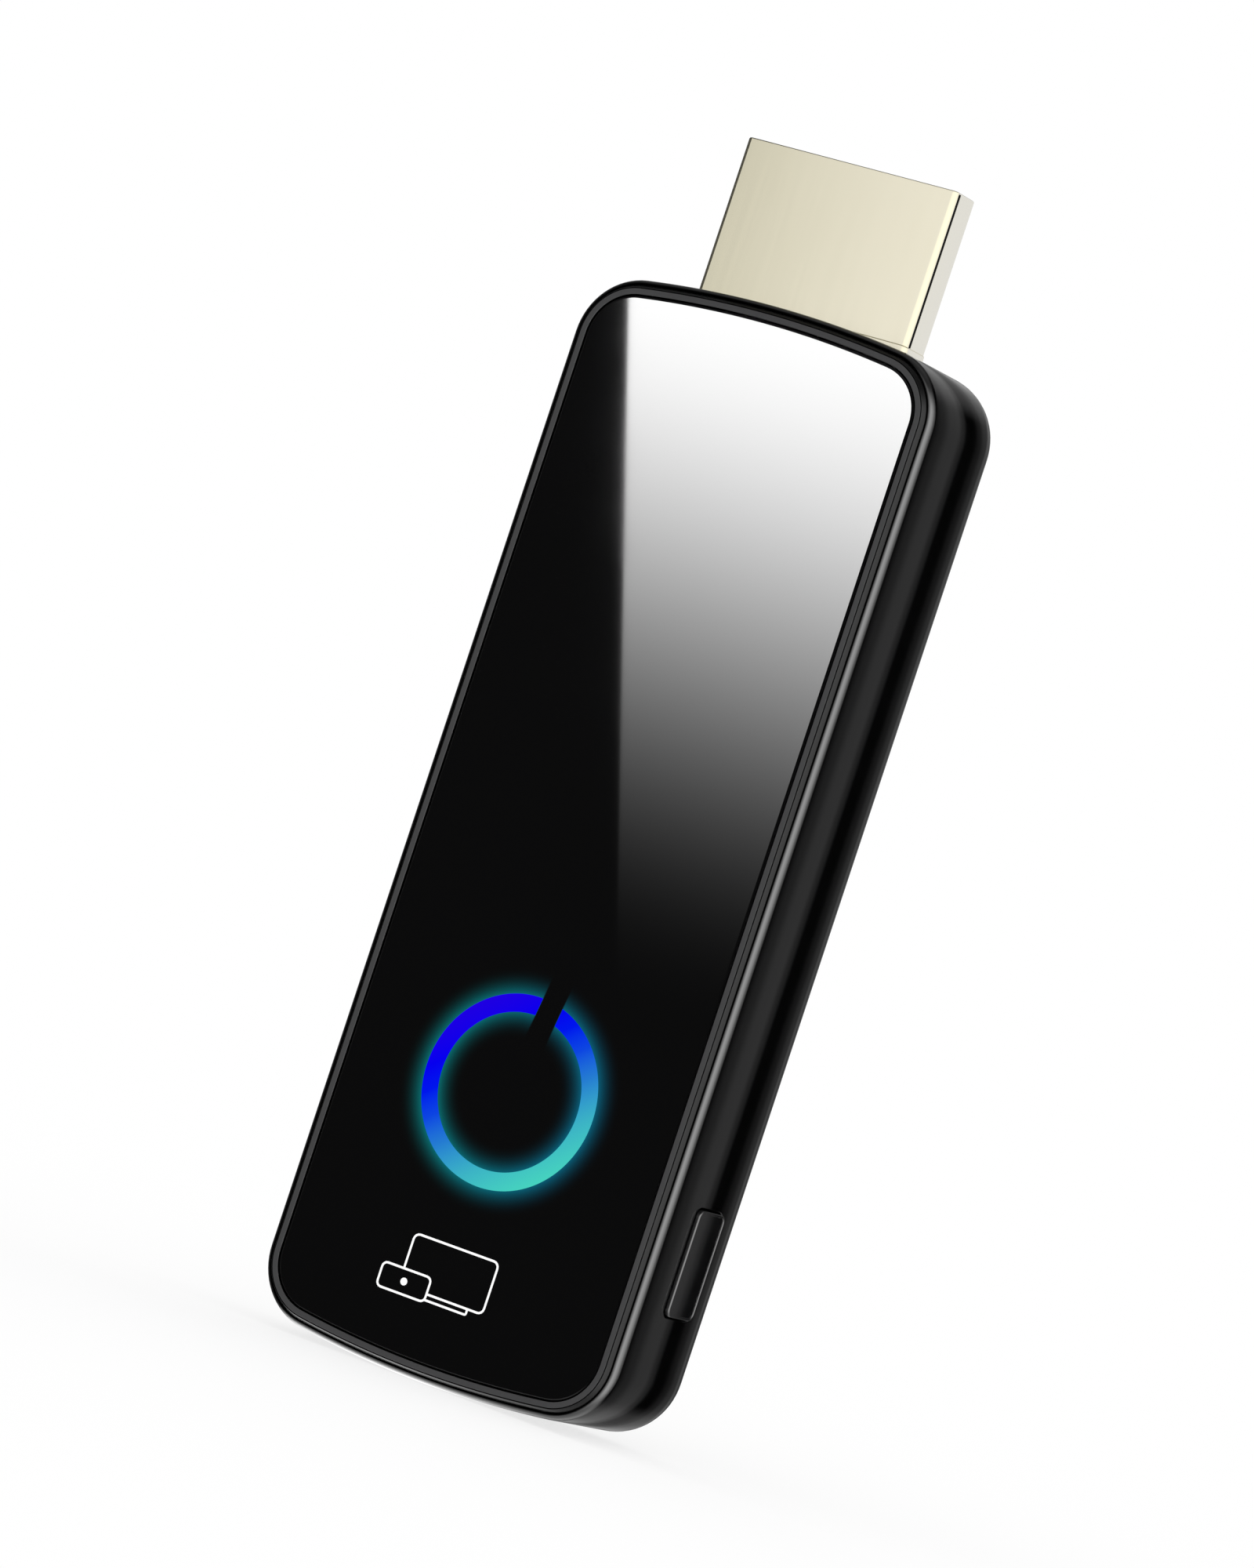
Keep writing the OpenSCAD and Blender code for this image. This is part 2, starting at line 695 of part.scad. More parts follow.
module heat_spreader() {
    color([0.75, 0.76, 0.78]) translate([0, 0, processor_z])
        slab(spreader_y, spreader_y + spreader_t) polygon(rounded(spreader_w, spreader_h, 1));
}

module memory_chip() {
    color([0.1, 0.1, 0.11]) chip(-1, -2.6, shield_z, 8, 11.5, 1);
}

module flash_chip() {
    color([0.1, 0.1, 0.11]) chip(1, -2, -30.2, 8, 6, 0.9);
}

module radio_chip() {
    color([0.1, 0.1, 0.11]) chip(-1, 4.8, shield_z + 2.6, 5, 5, 0.9);
}

module crystal() {
    color("silver") chip(-1, 4.8, shield_z - 4, 3.2, 2.5, 0.7);
}

module shield_frame() {
    color([0.8, 0.8, 0.82]) translate([0, 0, shield_z])
        slab(board_front_y - shield_t, board_front_y) difference() {
            polygon(rounded(shield_w, shield_h, shield_r));
            polygon(rounded(shield_w - 2 * shield_sheet, shield_h - 2 * shield_sheet,
                shield_r - shield_sheet));
        }
}

module shield_lid() {
    cover = rounded(shield_w + 2 * shield_sheet, shield_h + 2 * shield_sheet, shield_r + shield_sheet);
    color([0.84, 0.84, 0.86]) translate([0, 0, shield_z]) {
        slab(board_front_y - shield_t - shield_sheet, board_front_y - shield_t) polygon(cover);
        slab(board_front_y - shield_t, board_front_y - lid_skirt_gap) difference() {
            polygon(cover);
            polygon(rounded(shield_w, shield_h, shield_r));
        }
    }
}

module power_regulator() {
    color([0.1, 0.1, 0.11]) chip(1, -2.4, foot_z + 12, 3, 3, 0.9);
}

module power_inductors() {
    color([0.3, 0.3, 0.31]) for (up = [6.5, 11.5]) chip(1, 2.8, foot_z + up, 4, 4, 1.8);
}

module chip_capacitors() {
    color([0.7, 0.55, 0.4]) for (side = [-1, 1], i = [0:capacitor_rows - 1])
        chip(1, side * (processor_w / 2 + 1.3),
            processor_z + (i - (capacitor_rows - 1) / 2) * capacitor_pitch,
            capacitor[0], capacitor[1], capacitor[2]);
}

module chip_resistors() {
    color([0.12, 0.12, 0.14]) for (i = [0:5]) chip(1, -4 + 1.5 * i, foot_z + 17.5, 0.5, 1, 0.35);
}

module chip_antennas() {
    color([0.92, 0.92, 0.9]) for (side = [-1, 1]) chip(-1, side * 4, foot_z + 3.2, 3.2, 1.6, 0.6);
}

module rear_label() {
    color([0.16, 0.16, 0.17]) slab(back_y - label_t - label_set, back_y - label_set) translate([0, label_z])
        polygon(rounded(label_w, label_h, label_r));
}

// The casing's middle is the drawing's zero depth; the plug's axis is the frame's
translate([0, -plug_y, 0]) {
    rear_housing();
    front_bezel();
    front_panel();
    panel_adhesive();
    panel_icon();
    light_guide();
    light_shroud();
    ring_leds();
    side_button();
    switch_plunger();
    switch_body();
    switch_dome();
    switch_cover();
    main_board();
    board_screws();
    plug_shell();
    plug_insulator();
    plug_contacts();
    inlet_shell();
    inlet_tongue();
    inlet_contacts();
    processor();
    processor_pad();
    heat_spreader();
    memory_chip();
    flash_chip();
    radio_chip();
    crystal();
    shield_frame();
    shield_lid();
    power_regulator();
    power_inductors();
    chip_capacitors();
    chip_resistors();
    chip_antennas();
    rear_label();
}
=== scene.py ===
"""Looks of the streaming media player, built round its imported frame.

Lengths here are millimetres, as in the part's own design, and MM turns them into metres.
+Z runs out along the plug, the front panel faces -Y and the button is on the +X side.
"""

import json
import math

import bmesh
import bpy
from mathutils import Matrix, Vector


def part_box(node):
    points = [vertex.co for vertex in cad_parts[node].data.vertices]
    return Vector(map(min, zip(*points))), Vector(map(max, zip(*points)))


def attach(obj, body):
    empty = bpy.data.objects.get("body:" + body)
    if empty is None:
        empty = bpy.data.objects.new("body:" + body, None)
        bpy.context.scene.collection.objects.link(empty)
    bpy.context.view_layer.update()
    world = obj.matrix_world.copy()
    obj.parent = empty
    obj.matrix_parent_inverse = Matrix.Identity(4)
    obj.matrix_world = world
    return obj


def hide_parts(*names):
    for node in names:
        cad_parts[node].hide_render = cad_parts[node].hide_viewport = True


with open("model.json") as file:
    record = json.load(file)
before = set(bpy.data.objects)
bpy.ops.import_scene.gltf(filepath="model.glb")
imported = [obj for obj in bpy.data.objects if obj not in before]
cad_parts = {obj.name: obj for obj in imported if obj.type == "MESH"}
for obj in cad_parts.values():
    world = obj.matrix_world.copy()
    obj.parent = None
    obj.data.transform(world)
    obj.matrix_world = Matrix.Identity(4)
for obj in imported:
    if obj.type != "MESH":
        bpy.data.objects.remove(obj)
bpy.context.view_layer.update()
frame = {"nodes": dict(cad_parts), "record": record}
MM = 0.001


def corners(node):
    """Lowest and highest corner of a CAD node, in millimetres."""
    low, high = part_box(node)
    return low / MM, high / MM


# Planes and half sizes, read from the frame
SHELL_LOW, SHELL_HIGH = corners("rear_housing")
BEZEL_LOW, BEZEL_HIGH = corners("front_bezel")
_, PANEL_HIGH = corners("front_panel")
GUIDE_LOW, GUIDE_HIGH = corners("light_guide")
BUTTON_LOW, BUTTON_HIGH = corners("side_button")
PLUG_LOW, PLUG_HIGH = corners("plug_shell")
INLET_LOW, INLET_HIGH = corners("inlet_shell")
LABEL_LOW, LABEL_HIGH = corners("rear_label")
BOARD_LOW, BOARD_HIGH = corners("main_board")
HALF_W = SHELL_HIGH.x
HALF_H = -SHELL_LOW.z / 2
MID_Z = SHELL_LOW.z / 2
FOOT_Z = SHELL_LOW.z
BACK_Y = SHELL_HIGH.y
RIM_Y = SHELL_LOW.y
FRONT_Y = BEZEL_LOW.y
BEZEL_IN = HALF_W - BEZEL_HIGH.x
PANEL_IN = HALF_W - PANEL_HIGH.x
RING_Z = (GUIDE_LOW.z + GUIDE_HIGH.z) / 2
BUTTON_Y = (BUTTON_LOW.y + BUTTON_HIGH.y) / 2
BUTTON_Z = (BUTTON_LOW.z + BUTTON_HIGH.z) / 2
INLET_T = 2.5
INLET_W = 7.5
INLET_Y = INLET_LOW.y + INLET_T / 2
INLET_Z = (INLET_LOW.z + INLET_HIGH.z) / 2
LABEL_Z = (LABEL_LOW.z + LABEL_HIGH.z) / 2

# How far pieces that join run into each other, and how far cutters stand out of what they cut
OVERLAP = 0.01
CUT = 0.5

# The casing's outline and section
END_R = 66.6
CORNER_R = 3.9
WALL_T = 1.2
BACK_T = 1.2
BACK_ROUND = 2.45
CAVITY_ROUND = 1.25
RIM_T = 0.3
RIM_DEPTH = 0.6
RIM_EDGE = 0.02
HOLE_ROUND = 0.06
EDGE_NEAR = 0.1
WALL_NEAR = 0.3
LABEL_GAP = 0.15
LABEL_R = 1.15
SEAT_Y = FRONT_Y + 1.7
BEZEL_CHAMFER = 0.26
BEZEL_FLAT = 0.36
BEZEL_SOFT = 0.03
GROOVE_W = 0.07
GROOVE_SHIFT = 0.03
EDGE_STEP = 0.06
EDGE_RUN = 0.2
SHELF_W = 1.2
ADHESIVE_T = 0.1
GLASS_ROUND = 0.17
FACE_IN = 0.01

# The ring, the button, the plug and the inlet
RING_R = 5.58
RING_W = 1.04
GUIDE_FLANGE = 0.4
GUIDE_GAP = 0.003
NOTCH_X = 0.14
NOTCH_TURN = 7.6
NOTCH_W = 1.42
# How far the ring's glow painted on the glass reaches, and how steeply it falls off
HALO_REACH = 1.75
HALO_FALL = 4.0
BUTTON_R = 0.5
BUTTON_GAP = 0.1
BUTTON_EDGE = 0.1
FLANGE_LIP = 0.65
BUTTON_W = BUTTON_HIGH.y - BUTTON_LOW.y - 2 * FLANGE_LIP
BUTTON_H = BUTTON_HIGH.z - BUTTON_LOW.z - 2 * FLANGE_LIP
FLANGE_T = 0.65
NUB_R = 0.9
NUB_T = 0.09
FACE_SINK = 0.06
PLUG_SIDE = 2.4
PLUG_NARROW = 10.7
PLUG_SHEET = 0.3
PLUG_GAP = 0.08
PLUG_ROUND = 0.3
PLUG_HOLE_R = 0.35
PLUG_LIP = 0.08
PLUG_BODY_LOW = -2.9
ROOT_FLARE = 0.07
ROOT_LOW = -0.2
ROOT_RISE = 0.4
ROOT_STEP_LOW = 0.05
ROOT_STEP_HIGH = 0.06
SEAM_W = 0.27
SEAM_D = 0.12
SEAM_END = 0.1
LATCH_W = 1.8
LATCH_H = 2.2
LATCH_R = 0.25
LATCH_CUT = (1.0, 4.0)
LATCH_X = 2.6
LATCH_Z = 4.8
LEG_W = 1.6
LEG_RISE = 1.0
INLET_NIP = 0.9
INLET_NIP_SHRINK = 0.4
INLET_SHEET = 0.25
INLET_ROUND = 0.35
INLET_ROUND_SHRINK = 0.6
INLET_LIP = 0.06
INLET_GAP = 0.15
INLET_HOLE_R = 0.4
INLET_EAR = 1.2
INLET_EAR_LEN = 2.0


# Drawing ---------------------------------------------------------------------------------------

def arc(cx, cy, r, start, stop, steps):
    """Points of an arc about (cx, cy), in degrees from start to stop."""
    turns = [math.radians(start + (stop - start) * i / steps) for i in range(steps + 1)]
    return [(cx + r * math.cos(t), cy + r * math.sin(t)) for t in turns]


def circle(r, count):
    """Points of a circle about the origin."""
    return arc(0, 0, r, 0, 360 - 360 / count, count - 1)


def outline(inset):
    """The casing's outline in X and Z, inset evenly: straight sides, bulged ends, tangent corners."""
    cx = HALF_W - CORNER_R
    big = END_R - CORNER_R
    rise = math.sqrt(big * big - cx * cx)
    turn = math.degrees(math.atan2(rise, cx))
    corner = arc(cx, HALF_H - END_R + rise, CORNER_R - inset, 0, turn, 16)
    crown = arc(0, HALF_H - END_R, END_R - inset, turn, 180 - turn, 24)[1:-1]
    upper = corner + crown + [(-x, z) for x, z in reversed(corner)]
    lower = [(x, -z) for x, z in reversed(upper)]
    return [(x, z + MID_Z) for x, z in upper + lower]


def rounded(w, h, r, steps=8):
    """A rectangle with round corners, centred."""
    points = []
    for cx, cy, start in ((1, 1, 0), (-1, 1, 90), (-1, -1, 180), (1, -1, 270)):
        points += arc(cx * (w / 2 - r), cy * (h / 2 - r), r, start, start + 90, steps)
    return points


def filleted(points, r, steps=4):
    """The same polygon with each corner rounded to radius r."""
    made = []
    for i, (x, y) in enumerate(points):
        here = Vector((x, y))
        before = (Vector(points[i - 1]) - here).normalized()
        after = (Vector(points[(i + 1) % len(points)]) - here).normalized()
        half = before.angle(after) / 2
        centre = here + (before + after).normalized() * r / math.sin(half)
        reach = r / math.tan(half)
        first = here + before * reach - centre
        last = here + after * reach - centre
        swing = math.atan2(first.x * last.y - first.y * last.x, first.dot(last))
        start = math.atan2(first.y, first.x)
        for k in range(steps + 1):
            turn = start + swing * k / steps
            made.append((centre.x + r * math.cos(turn), centre.y + r * math.sin(turn)))
    return made


def plug_section(inset):
    """The plug's section in X and Y: wide face, straight sides, then slanting in to the narrow face."""
    hw = PLUG_HIGH.x
    ht = -PLUG_LOW.y
    knee = PLUG_SIDE - ht
    run = hw - PLUG_NARROW / 2
    slant = math.hypot(run, ht - knee)
    nx = (ht - knee) / slant
    ny = run / slant
    c = nx * hw + ny * knee - inset
    x = hw - inset
    y = ht - inset
    right = [(x, -y), (x, (c - nx * x) / ny), ((c - ny * y) / nx, y)]
    return right + [(-u, v) for u, v in reversed(right)]


def notched_ring(outer, inner, grow=0.0):
    """The lit ring's outline about its centre: an annulus with one straight notch that leans to +X."""
    left = NOTCH_X - NOTCH_W / 2 + grow
    right = NOTCH_X + NOTCH_W / 2 - grow
    points = []
    for r, a, b in ((outer + grow, right, left), (inner - grow, left, right)):
        start = math.degrees(math.acos(a / r)) - NOTCH_TURN
        stop = math.degrees(math.acos(b / r)) - NOTCH_TURN
        turn = -360 if r > inner else 360
        points += arc(0, 0, r, start, stop + turn, 128)
    return points


# Meshes ----------------------------------------------------------------------------------------

# Edges are shaded smooth under the one angle, and rounded over the other, in degrees
SMOOTH_UNDER = 32
SOFTEN_OVER = 50


def along_y(u, v, w):
    """A point drawn in X and Z, at height w along Y."""
    return (u, w, v)


def along_x(u, v, w):
    """A point drawn in Y and Z, at height w along X."""
    return (w, u, v)


def along_z(u, v, w):
    """A point drawn in X and Y, at height w along Z."""
    return (u, v, w)


def moved(drawing, du, dv):
    """The drawing shifted by (du, dv)."""
    return [(u + du, v + dv) for u, v in drawing]


def skin(rings, closed=False):
    """Points and faces through rings of points. The ends are capped, or joined to each other if closed."""
    count = len(rings[0])
    points = [p for ring in rings for p in ring]
    faces = []
    for k in range(len(rings) if closed else len(rings) - 1):
        a = k * count
        b = (k + 1) % len(rings) * count
        faces += [(a + i, a + (i + 1) % count, b + (i + 1) % count, b + i) for i in range(count)]
    if not closed:
        faces.append(tuple(range(count)))
        faces.append(tuple(range(len(points) - count, len(points))))
    return points, faces


def prism(drawing, low, high, place):
    """A drawing swept from low to high; place puts a drawing point and a height in the frame."""
    return skin([[place(u, v, w) for u, v in drawing] for w in (low, high)])


def solid(name, *parts):
    """One mesh object from closed (points, faces) parts in millimetres."""
    shape = bmesh.new()
    for points, faces in parts:
        verts = [shape.verts.new(Vector(p) * MM) for p in points]
        for face in faces:
            shape.faces.new([verts[i] for i in face])
    bmesh.ops.recalc_face_normals(shape, faces=shape.faces)
    mesh = bpy.data.meshes.new(name)
    shape.to_mesh(mesh)
    shape.free()
    made = bpy.data.objects.new(name, mesh)
    bpy.context.collection.objects.link(made)
    return made


def carve(piece, *parts):
    """Cuts closed (points, faces) parts out of the piece, one after the other."""
    for part in parts:
        tool = solid("cutter", part)
        step = piece.modifiers.new("cut", "BOOLEAN")
        step.operation = "DIFFERENCE"
        step.object = tool
        step.solver = "EXACT"
        graph = bpy.context.evaluated_depsgraph_get()
        mesh = bpy.data.meshes.new_from_object(piece.evaluated_get(graph))
        piece.modifiers.clear()
        piece.data = mesh
        bpy.data.objects.remove(tool)


def soften(piece, width, chosen):
    """Rounds the sharp edges whose two ends are both chosen, by points in millimetres."""
    shape = bmesh.new()
    shape.from_mesh(piece.data)
    edges = [
        e for e in shape.edges
        if len(e.link_faces) == 2
        and e.calc_face_angle(0) > math.radians(SOFTEN_OVER)
        and all(chosen(v.co / MM) for v in e.verts)
    ]
    bmesh.ops.bevel(
        shape, geom=edges, offset=width * MM, segments=3, profile=0.5, affect="EDGES", clamp_overlap=True,
    )
    shape.to_mesh(piece.data)
    shape.free()


def shade(piece):
    """Smooth shading, broken only at edges sharper than the limit."""
    shape = bmesh.new()
    shape.from_mesh(piece.data)
    for face in shape.faces:
        face.smooth = True
    for edge in shape.edges:
        edge.smooth = len(edge.link_faces) == 2 and edge.calc_face_angle(0) < math.radians(SMOOTH_UNDER)
    shape.to_mesh(piece.data)
    shape.free()
    step = piece.modifiers.new("normals", "WEIGHTED_NORMAL")
    step.keep_sharp = True


# Node trees ------------------------------------------------------------------------------------

class Tree:
    """Short calls for the nodes of a material or a world."""

    def __init__(self, owner):
        owner.use_nodes = True
        self.nodes = owner.node_tree.nodes
        self.links = owner.node_tree.links

    def put(self, value, socket):
        """Links an output to the socket, or sets the socket to a plain value."""
        if hasattr(value, "is_output"):
            self.links.new(value, socket)
        else:
            socket.default_value = value

    def add(self, kind, inputs=(), **settings):
        """A new node with its first inputs and its settings; None leaves an input as it is."""
        node = self.nodes.new(kind)
        for name, value in settings.items():
            setattr(node, name, value)
        for place, value in enumerate(inputs):
            if value is not None:
                self.put(value, node.inputs[place])
        return node

    def math(self, operation, *values):
        """The result of one sum on outputs or numbers."""
        return self.add("ShaderNodeMath", values, operation=operation).outputs[0]

    def spread(self, value, low, high, to_low=0.0, to_high=1.0, kind="SMOOTHSTEP"):
        """The value between low and high, spread over to_low to to_high."""
        inputs = (value, low, high, to_low, to_high)
        return self.add("ShaderNodeMapRange", inputs, interpolation_type=kind).outputs[0]

    def ramp(self, value, stops, kind="LINEAR"):
        """A colour ramp through (place, colour) stops."""
        node = self.add("ShaderNodeValToRGB", (value,))
        node.color_ramp.interpolation = kind
        marks = node.color_ramp.elements
        while len(marks) < len(stops):
            marks.new(0.5)
        for mark, (place, colour) in zip(marks, stops):
            mark.position = place
            mark.color = (*colour, 1)
        return node.outputs[0]

    def place(self):
        """The point's object coordinates in millimetres, as X, Y and Z."""
        point = self.add("ShaderNodeTexCoord").outputs["Object"]
        split = self.add("ShaderNodeSeparateXYZ", (point,))
        return [self.math("MULTIPLY", out, 1 / MM) for out in split.outputs]

    def noise(self, size, detail, stretch=(1, 1, 1)):
        """Noise whose features are about size millimetres, stretched along the axes."""
        point = self.add("ShaderNodeTexCoord").outputs["Object"]
        scaled = self.add("ShaderNodeMapping", (point,))
        scaled.inputs["Scale"].default_value = [1 / (size * MM * s) for s in stretch]
        node = self.add("ShaderNodeTexNoise", (scaled.outputs[0],))
        node.inputs["Scale"].default_value = 1.0
        node.inputs["Detail"].default_value = detail
        node.inputs["Roughness"].default_value = 0.5
        return node.outputs["Fac"]

    def bump(self, height, depth):
        """A bump of that depth in millimetres."""
        node = self.add("ShaderNodeBump")
        node.inputs["Strength"].default_value = 1.0
        node.inputs["Distance"].default_value = depth * MM
        self.put(height, node.inputs["Height"])
        return node.outputs[0]

    def mix(self, share, a, b):
        """A colour between a and b."""
        node = self.add("ShaderNodeMix", data_type="RGBA")
        self.put(share, node.inputs[0])
        for place, colour in ((6, a), (7, b)):
            self.put(colour if hasattr(colour, "is_output") else (*colour, 1), node.inputs[place])
        return node.outputs[2]


def finish_of(name, colour, roughness, metallic=0.0):
    """A named Principled material and its tree."""
    made = bpy.data.materials.new(name)
    tree = Tree(made)
    shader = tree.nodes["Principled BSDF"]
    shader.inputs["Base Color"].default_value = (*colour, 1)
    shader.inputs["Roughness"].default_value = roughness
    shader.inputs["Metallic"].default_value = metallic
    shader.inputs["IOR"].default_value = 1.5
    return made, tree, shader


def moulded(name, colour, roughness, spread, grain, depth):
    """Moulded plastic: fine grain in the surface and slight unevenness of gloss and colour."""
    made, tree, shader = finish_of(name, colour, roughness)
    cloud = tree.noise(5.0, 3.0)
    tree.put(tree.spread(cloud, 0.3, 0.7, roughness * (1 - spread), roughness * (1 + spread)),
             shader.inputs["Roughness"])
    light = tuple(c * (1 + spread) for c in colour)
    dark = tuple(c * (1 - spread) for c in colour)
    tree.put(tree.mix(tree.noise(1.4, 4.0), dark, light), shader.inputs["Base Color"])
    tree.put(tree.bump(tree.noise(grain, 2.0), depth), shader.inputs["Normal"])
    return made


def brushed(name, colour, roughness, stretch, size=0.05):
    """Metal with fine lines along one axis and slight tarnish."""
    made, tree, shader = finish_of(name, colour, roughness, metallic=1.0)
    lines = tree.noise(size, 3.0, stretch)
    tree.put(tree.spread(lines, 0.25, 0.75, roughness * 0.8, roughness * 1.25), shader.inputs["Roughness"])
    dark = tuple(c * 0.92 for c in colour)
    tree.put(tree.mix(tree.noise(2.5, 4.0), dark, colour), shader.inputs["Base Color"])
    tree.put(tree.bump(lines, 0.001), shader.inputs["Normal"])
    return made


def housing_finish():
    """Polished black plastic with faint cloudiness of its gloss and colour."""
    made, tree, shader = finish_of("housing_plastic", (0.0015, 0.0015, 0.0016), 0.07)
    tree.put(tree.spread(tree.noise(4.0, 3.0), 0.3, 0.7, 0.06, 0.085), shader.inputs["Roughness"])
    tree.put(tree.mix(tree.noise(2.0, 3.0), (0.0012, 0.0012, 0.0013), (0.0018, 0.0018, 0.0019)),
             shader.inputs["Base Color"])
    return made


def bezel_finish():
    """Satin grey on the flat front face only; the flanks behind it are plain black plastic."""
    made, tree, shader = finish_of("bezel_plastic", (0.055, 0.055, 0.056), 0.4)
    shader.inputs["Specular IOR Level"].default_value = 0.1
    _, y, _ = tree.place()
    flank = tree.spread(y, FRONT_Y + 0.012, FRONT_Y + 0.05)
    satin = tree.mix(tree.noise(0.6, 3.0), (0.052, 0.052, 0.053), (0.058, 0.058, 0.059))
    tree.put(tree.mix(flank, satin, (0.002, 0.002, 0.002)), shader.inputs["Base Color"])
    tree.put(tree.math("SUBTRACT", tree.spread(tree.noise(3.0, 3.0), 0.3, 0.7, 0.42, 0.5),
                       tree.math("MULTIPLY", flank, 0.22)), shader.inputs["Roughness"])
    return made


def button_finish():
    """Black plastic, a little less polished than the housing."""
    made, tree, shader = finish_of("button_plastic", (0.003, 0.003, 0.0032), 0.14)
    tree.put(tree.spread(tree.noise(1.5, 3.0), 0.3, 0.7, 0.12, 0.16), shader.inputs["Roughness"])
    tree.put(tree.mix(tree.noise(0.5, 3.0), (0.0025, 0.0025, 0.0027), (0.0036, 0.0036, 0.0038)),
             shader.inputs["Base Color"])
    return made


def panel_finish():
    """Black glass, with the ring's glow painted into it as emission that fades out on both sides of the
    ring.
    """
    made, tree, shader = finish_of("panel_gloss", (0.0037, 0.0037, 0.0038), 0.03)
    tree.put(tree.spread(tree.noise(9.0, 3.0), 0.3, 0.7, 0.026, 0.038), shader.inputs["Roughness"])
    # Painted glow: emission on the glass, brightest at the ring's edge and fading with distance from it,
    # left out over the notch.
    x, _, z = tree.place()
    up = tree.math("SUBTRACT", z, RING_Z)
    radius = tree.math("SQRT", tree.math("ADD", tree.math("MULTIPLY", x, x), tree.math("MULTIPLY", up, up)))
    away = tree.math("ABSOLUTE", tree.math("SUBTRACT", radius, RING_R - RING_W / 2))
    near = tree.spread(away, RING_W / 2 + HALO_REACH, RING_W / 2, kind="LINEAR")
    glow = tree.math("POWER", near, HALO_FALL)
    lean = math.radians(NOTCH_TURN)
    across = tree.math("SUBTRACT", tree.math("MULTIPLY", x, math.cos(lean)),
                       tree.math("MULTIPLY", up, math.sin(lean)))
    beside = tree.math("ABSOLUTE", tree.math("SUBTRACT", across, NOTCH_X))
    barred = tree.math("MULTIPLY", tree.spread(beside, NOTCH_W / 2 + 0.05, NOTCH_W / 2 - 0.05),
                       tree.spread(up, 0.0, 1.0))
    glow = tree.math("MULTIPLY", glow, tree.math("SUBTRACT", 1.0, barred))
    # Colour of the painted glow, teal on the left and bluer on the right.
    tree.put(tree.mix(tree.spread(x, -RING_R, RING_R), (0.0, 0.135, 0.14), (0.0, 0.1, 0.17)),
             shader.inputs["Emission Color"])
    tree.put(glow, shader.inputs["Emission Strength"])
    return made


# The direction in which the ring's light turns colour, right and down, and its colours on the way
RING_LEAN = (0.625, 0.781)
RING_COLOURS = (
    (0.0, (0.014, 0.0, 0.75)), (0.2, (0.002, 0.0, 0.86)), (0.32, (0.0, 0.008, 0.85)),
    (0.45, (0.004, 0.06, 0.76)), (0.6, (0.018, 0.2, 0.64)), (0.8, (0.045, 0.45, 0.56)),
    (1.0, (0.062, 0.65, 0.52)),
)


def ring_finish():
    """Light that turns from violet-blue to teal across the ring, toward its lower right."""
    made, tree, shader = finish_of("ring_light", (0.0, 0.0, 0.0), 0.4)
    shader.inputs["Specular IOR Level"].default_value = 0.0
    x, _, z = tree.place()
    up = tree.math("SUBTRACT", z, RING_Z)
    right, down = RING_LEAN
    across = tree.math("SUBTRACT", tree.math("MULTIPLY", x, right), tree.math("MULTIPLY", up, down))
    colour = tree.ramp(tree.spread(across, -RING_R, RING_R, kind="LINEAR"), RING_COLOURS)
    tree.put(colour, shader.inputs["Emission Color"])
    shader.inputs["Emission Strength"].default_value = 1.0
    return made


def icon_finish():
    """White ink of slightly uneven cover, with a faint painted glow that brightens it."""
    made, tree, shader = finish_of("icon_print", (0.95, 0.95, 0.95), 0.5)
    ink = tree.mix(tree.noise(0.4, 2.0), (0.9, 0.9, 0.9), (0.98, 0.98, 0.98))
    tree.put(ink, shader.inputs["Base Color"])
    # Painted glow: a faint white emission on the ink.
    shader.inputs["Emission Color"].default_value = (1, 1, 1, 1)
    shader.inputs["Emission Strength"].default_value = 0.15
    return made


def plug_finish():
    """Satin champagne plating, its gloss drawn out along the plug and rubbed a little near the tip."""
    made, tree, shader = finish_of("plug_gold", (0.87, 0.82, 0.62), 0.22, metallic=1.0)
    lines = tree.noise(0.35, 2.0, (1, 1, 30))
    _, _, z = tree.place()
    tip = tree.spread(z, PLUG_HIGH.z - 2.5, PLUG_HIGH.z)
    rub = tree.math("MULTIPLY", tree.spread(lines, 0.5, 0.7), tip)
    rough = tree.spread(lines, 0.3, 0.7, 0.21, 0.235)
    tree.put(tree.math("SUBTRACT", rough, tree.math("MULTIPLY", rub, 0.02)), shader.inputs["Roughness"])
    tree.put(tree.mix(tree.noise(4.0, 2.0), (0.862, 0.812, 0.61), (0.878, 0.828, 0.63)),
             shader.inputs["Base Color"])
    return made


def laminate_finish():
    """Green solder mask over faint copper tracks."""
    made, tree, shader = finish_of("board_laminate", (0.01, 0.09, 0.04), 0.35)
    grid = tree.add("ShaderNodeTexBrick")
    point = tree.add("ShaderNodeTexCoord").outputs["Object"]
    turned = tree.add("ShaderNodeMapping", (point,))
    turned.inputs["Rotation"].default_value = (math.pi / 2, 0, 0)
    tree.put(turned.outputs[0], grid.inputs["Vector"])
    grid.inputs["Scale"].default_value = 900
    grid.inputs["Mortar Size"].default_value = 0.04
    grid.inputs["Color1"].default_value = (0.008, 0.085, 0.035, 1)
    grid.inputs["Color2"].default_value = (0.012, 0.1, 0.045, 1)
    grid.inputs["Mortar"].default_value = (0.03, 0.17, 0.08, 1)
    tree.put(grid.outputs[0], shader.inputs["Base Color"])
    tree.put(tree.bump(grid.outputs[1], 0.01), shader.inputs["Normal"])
    return made


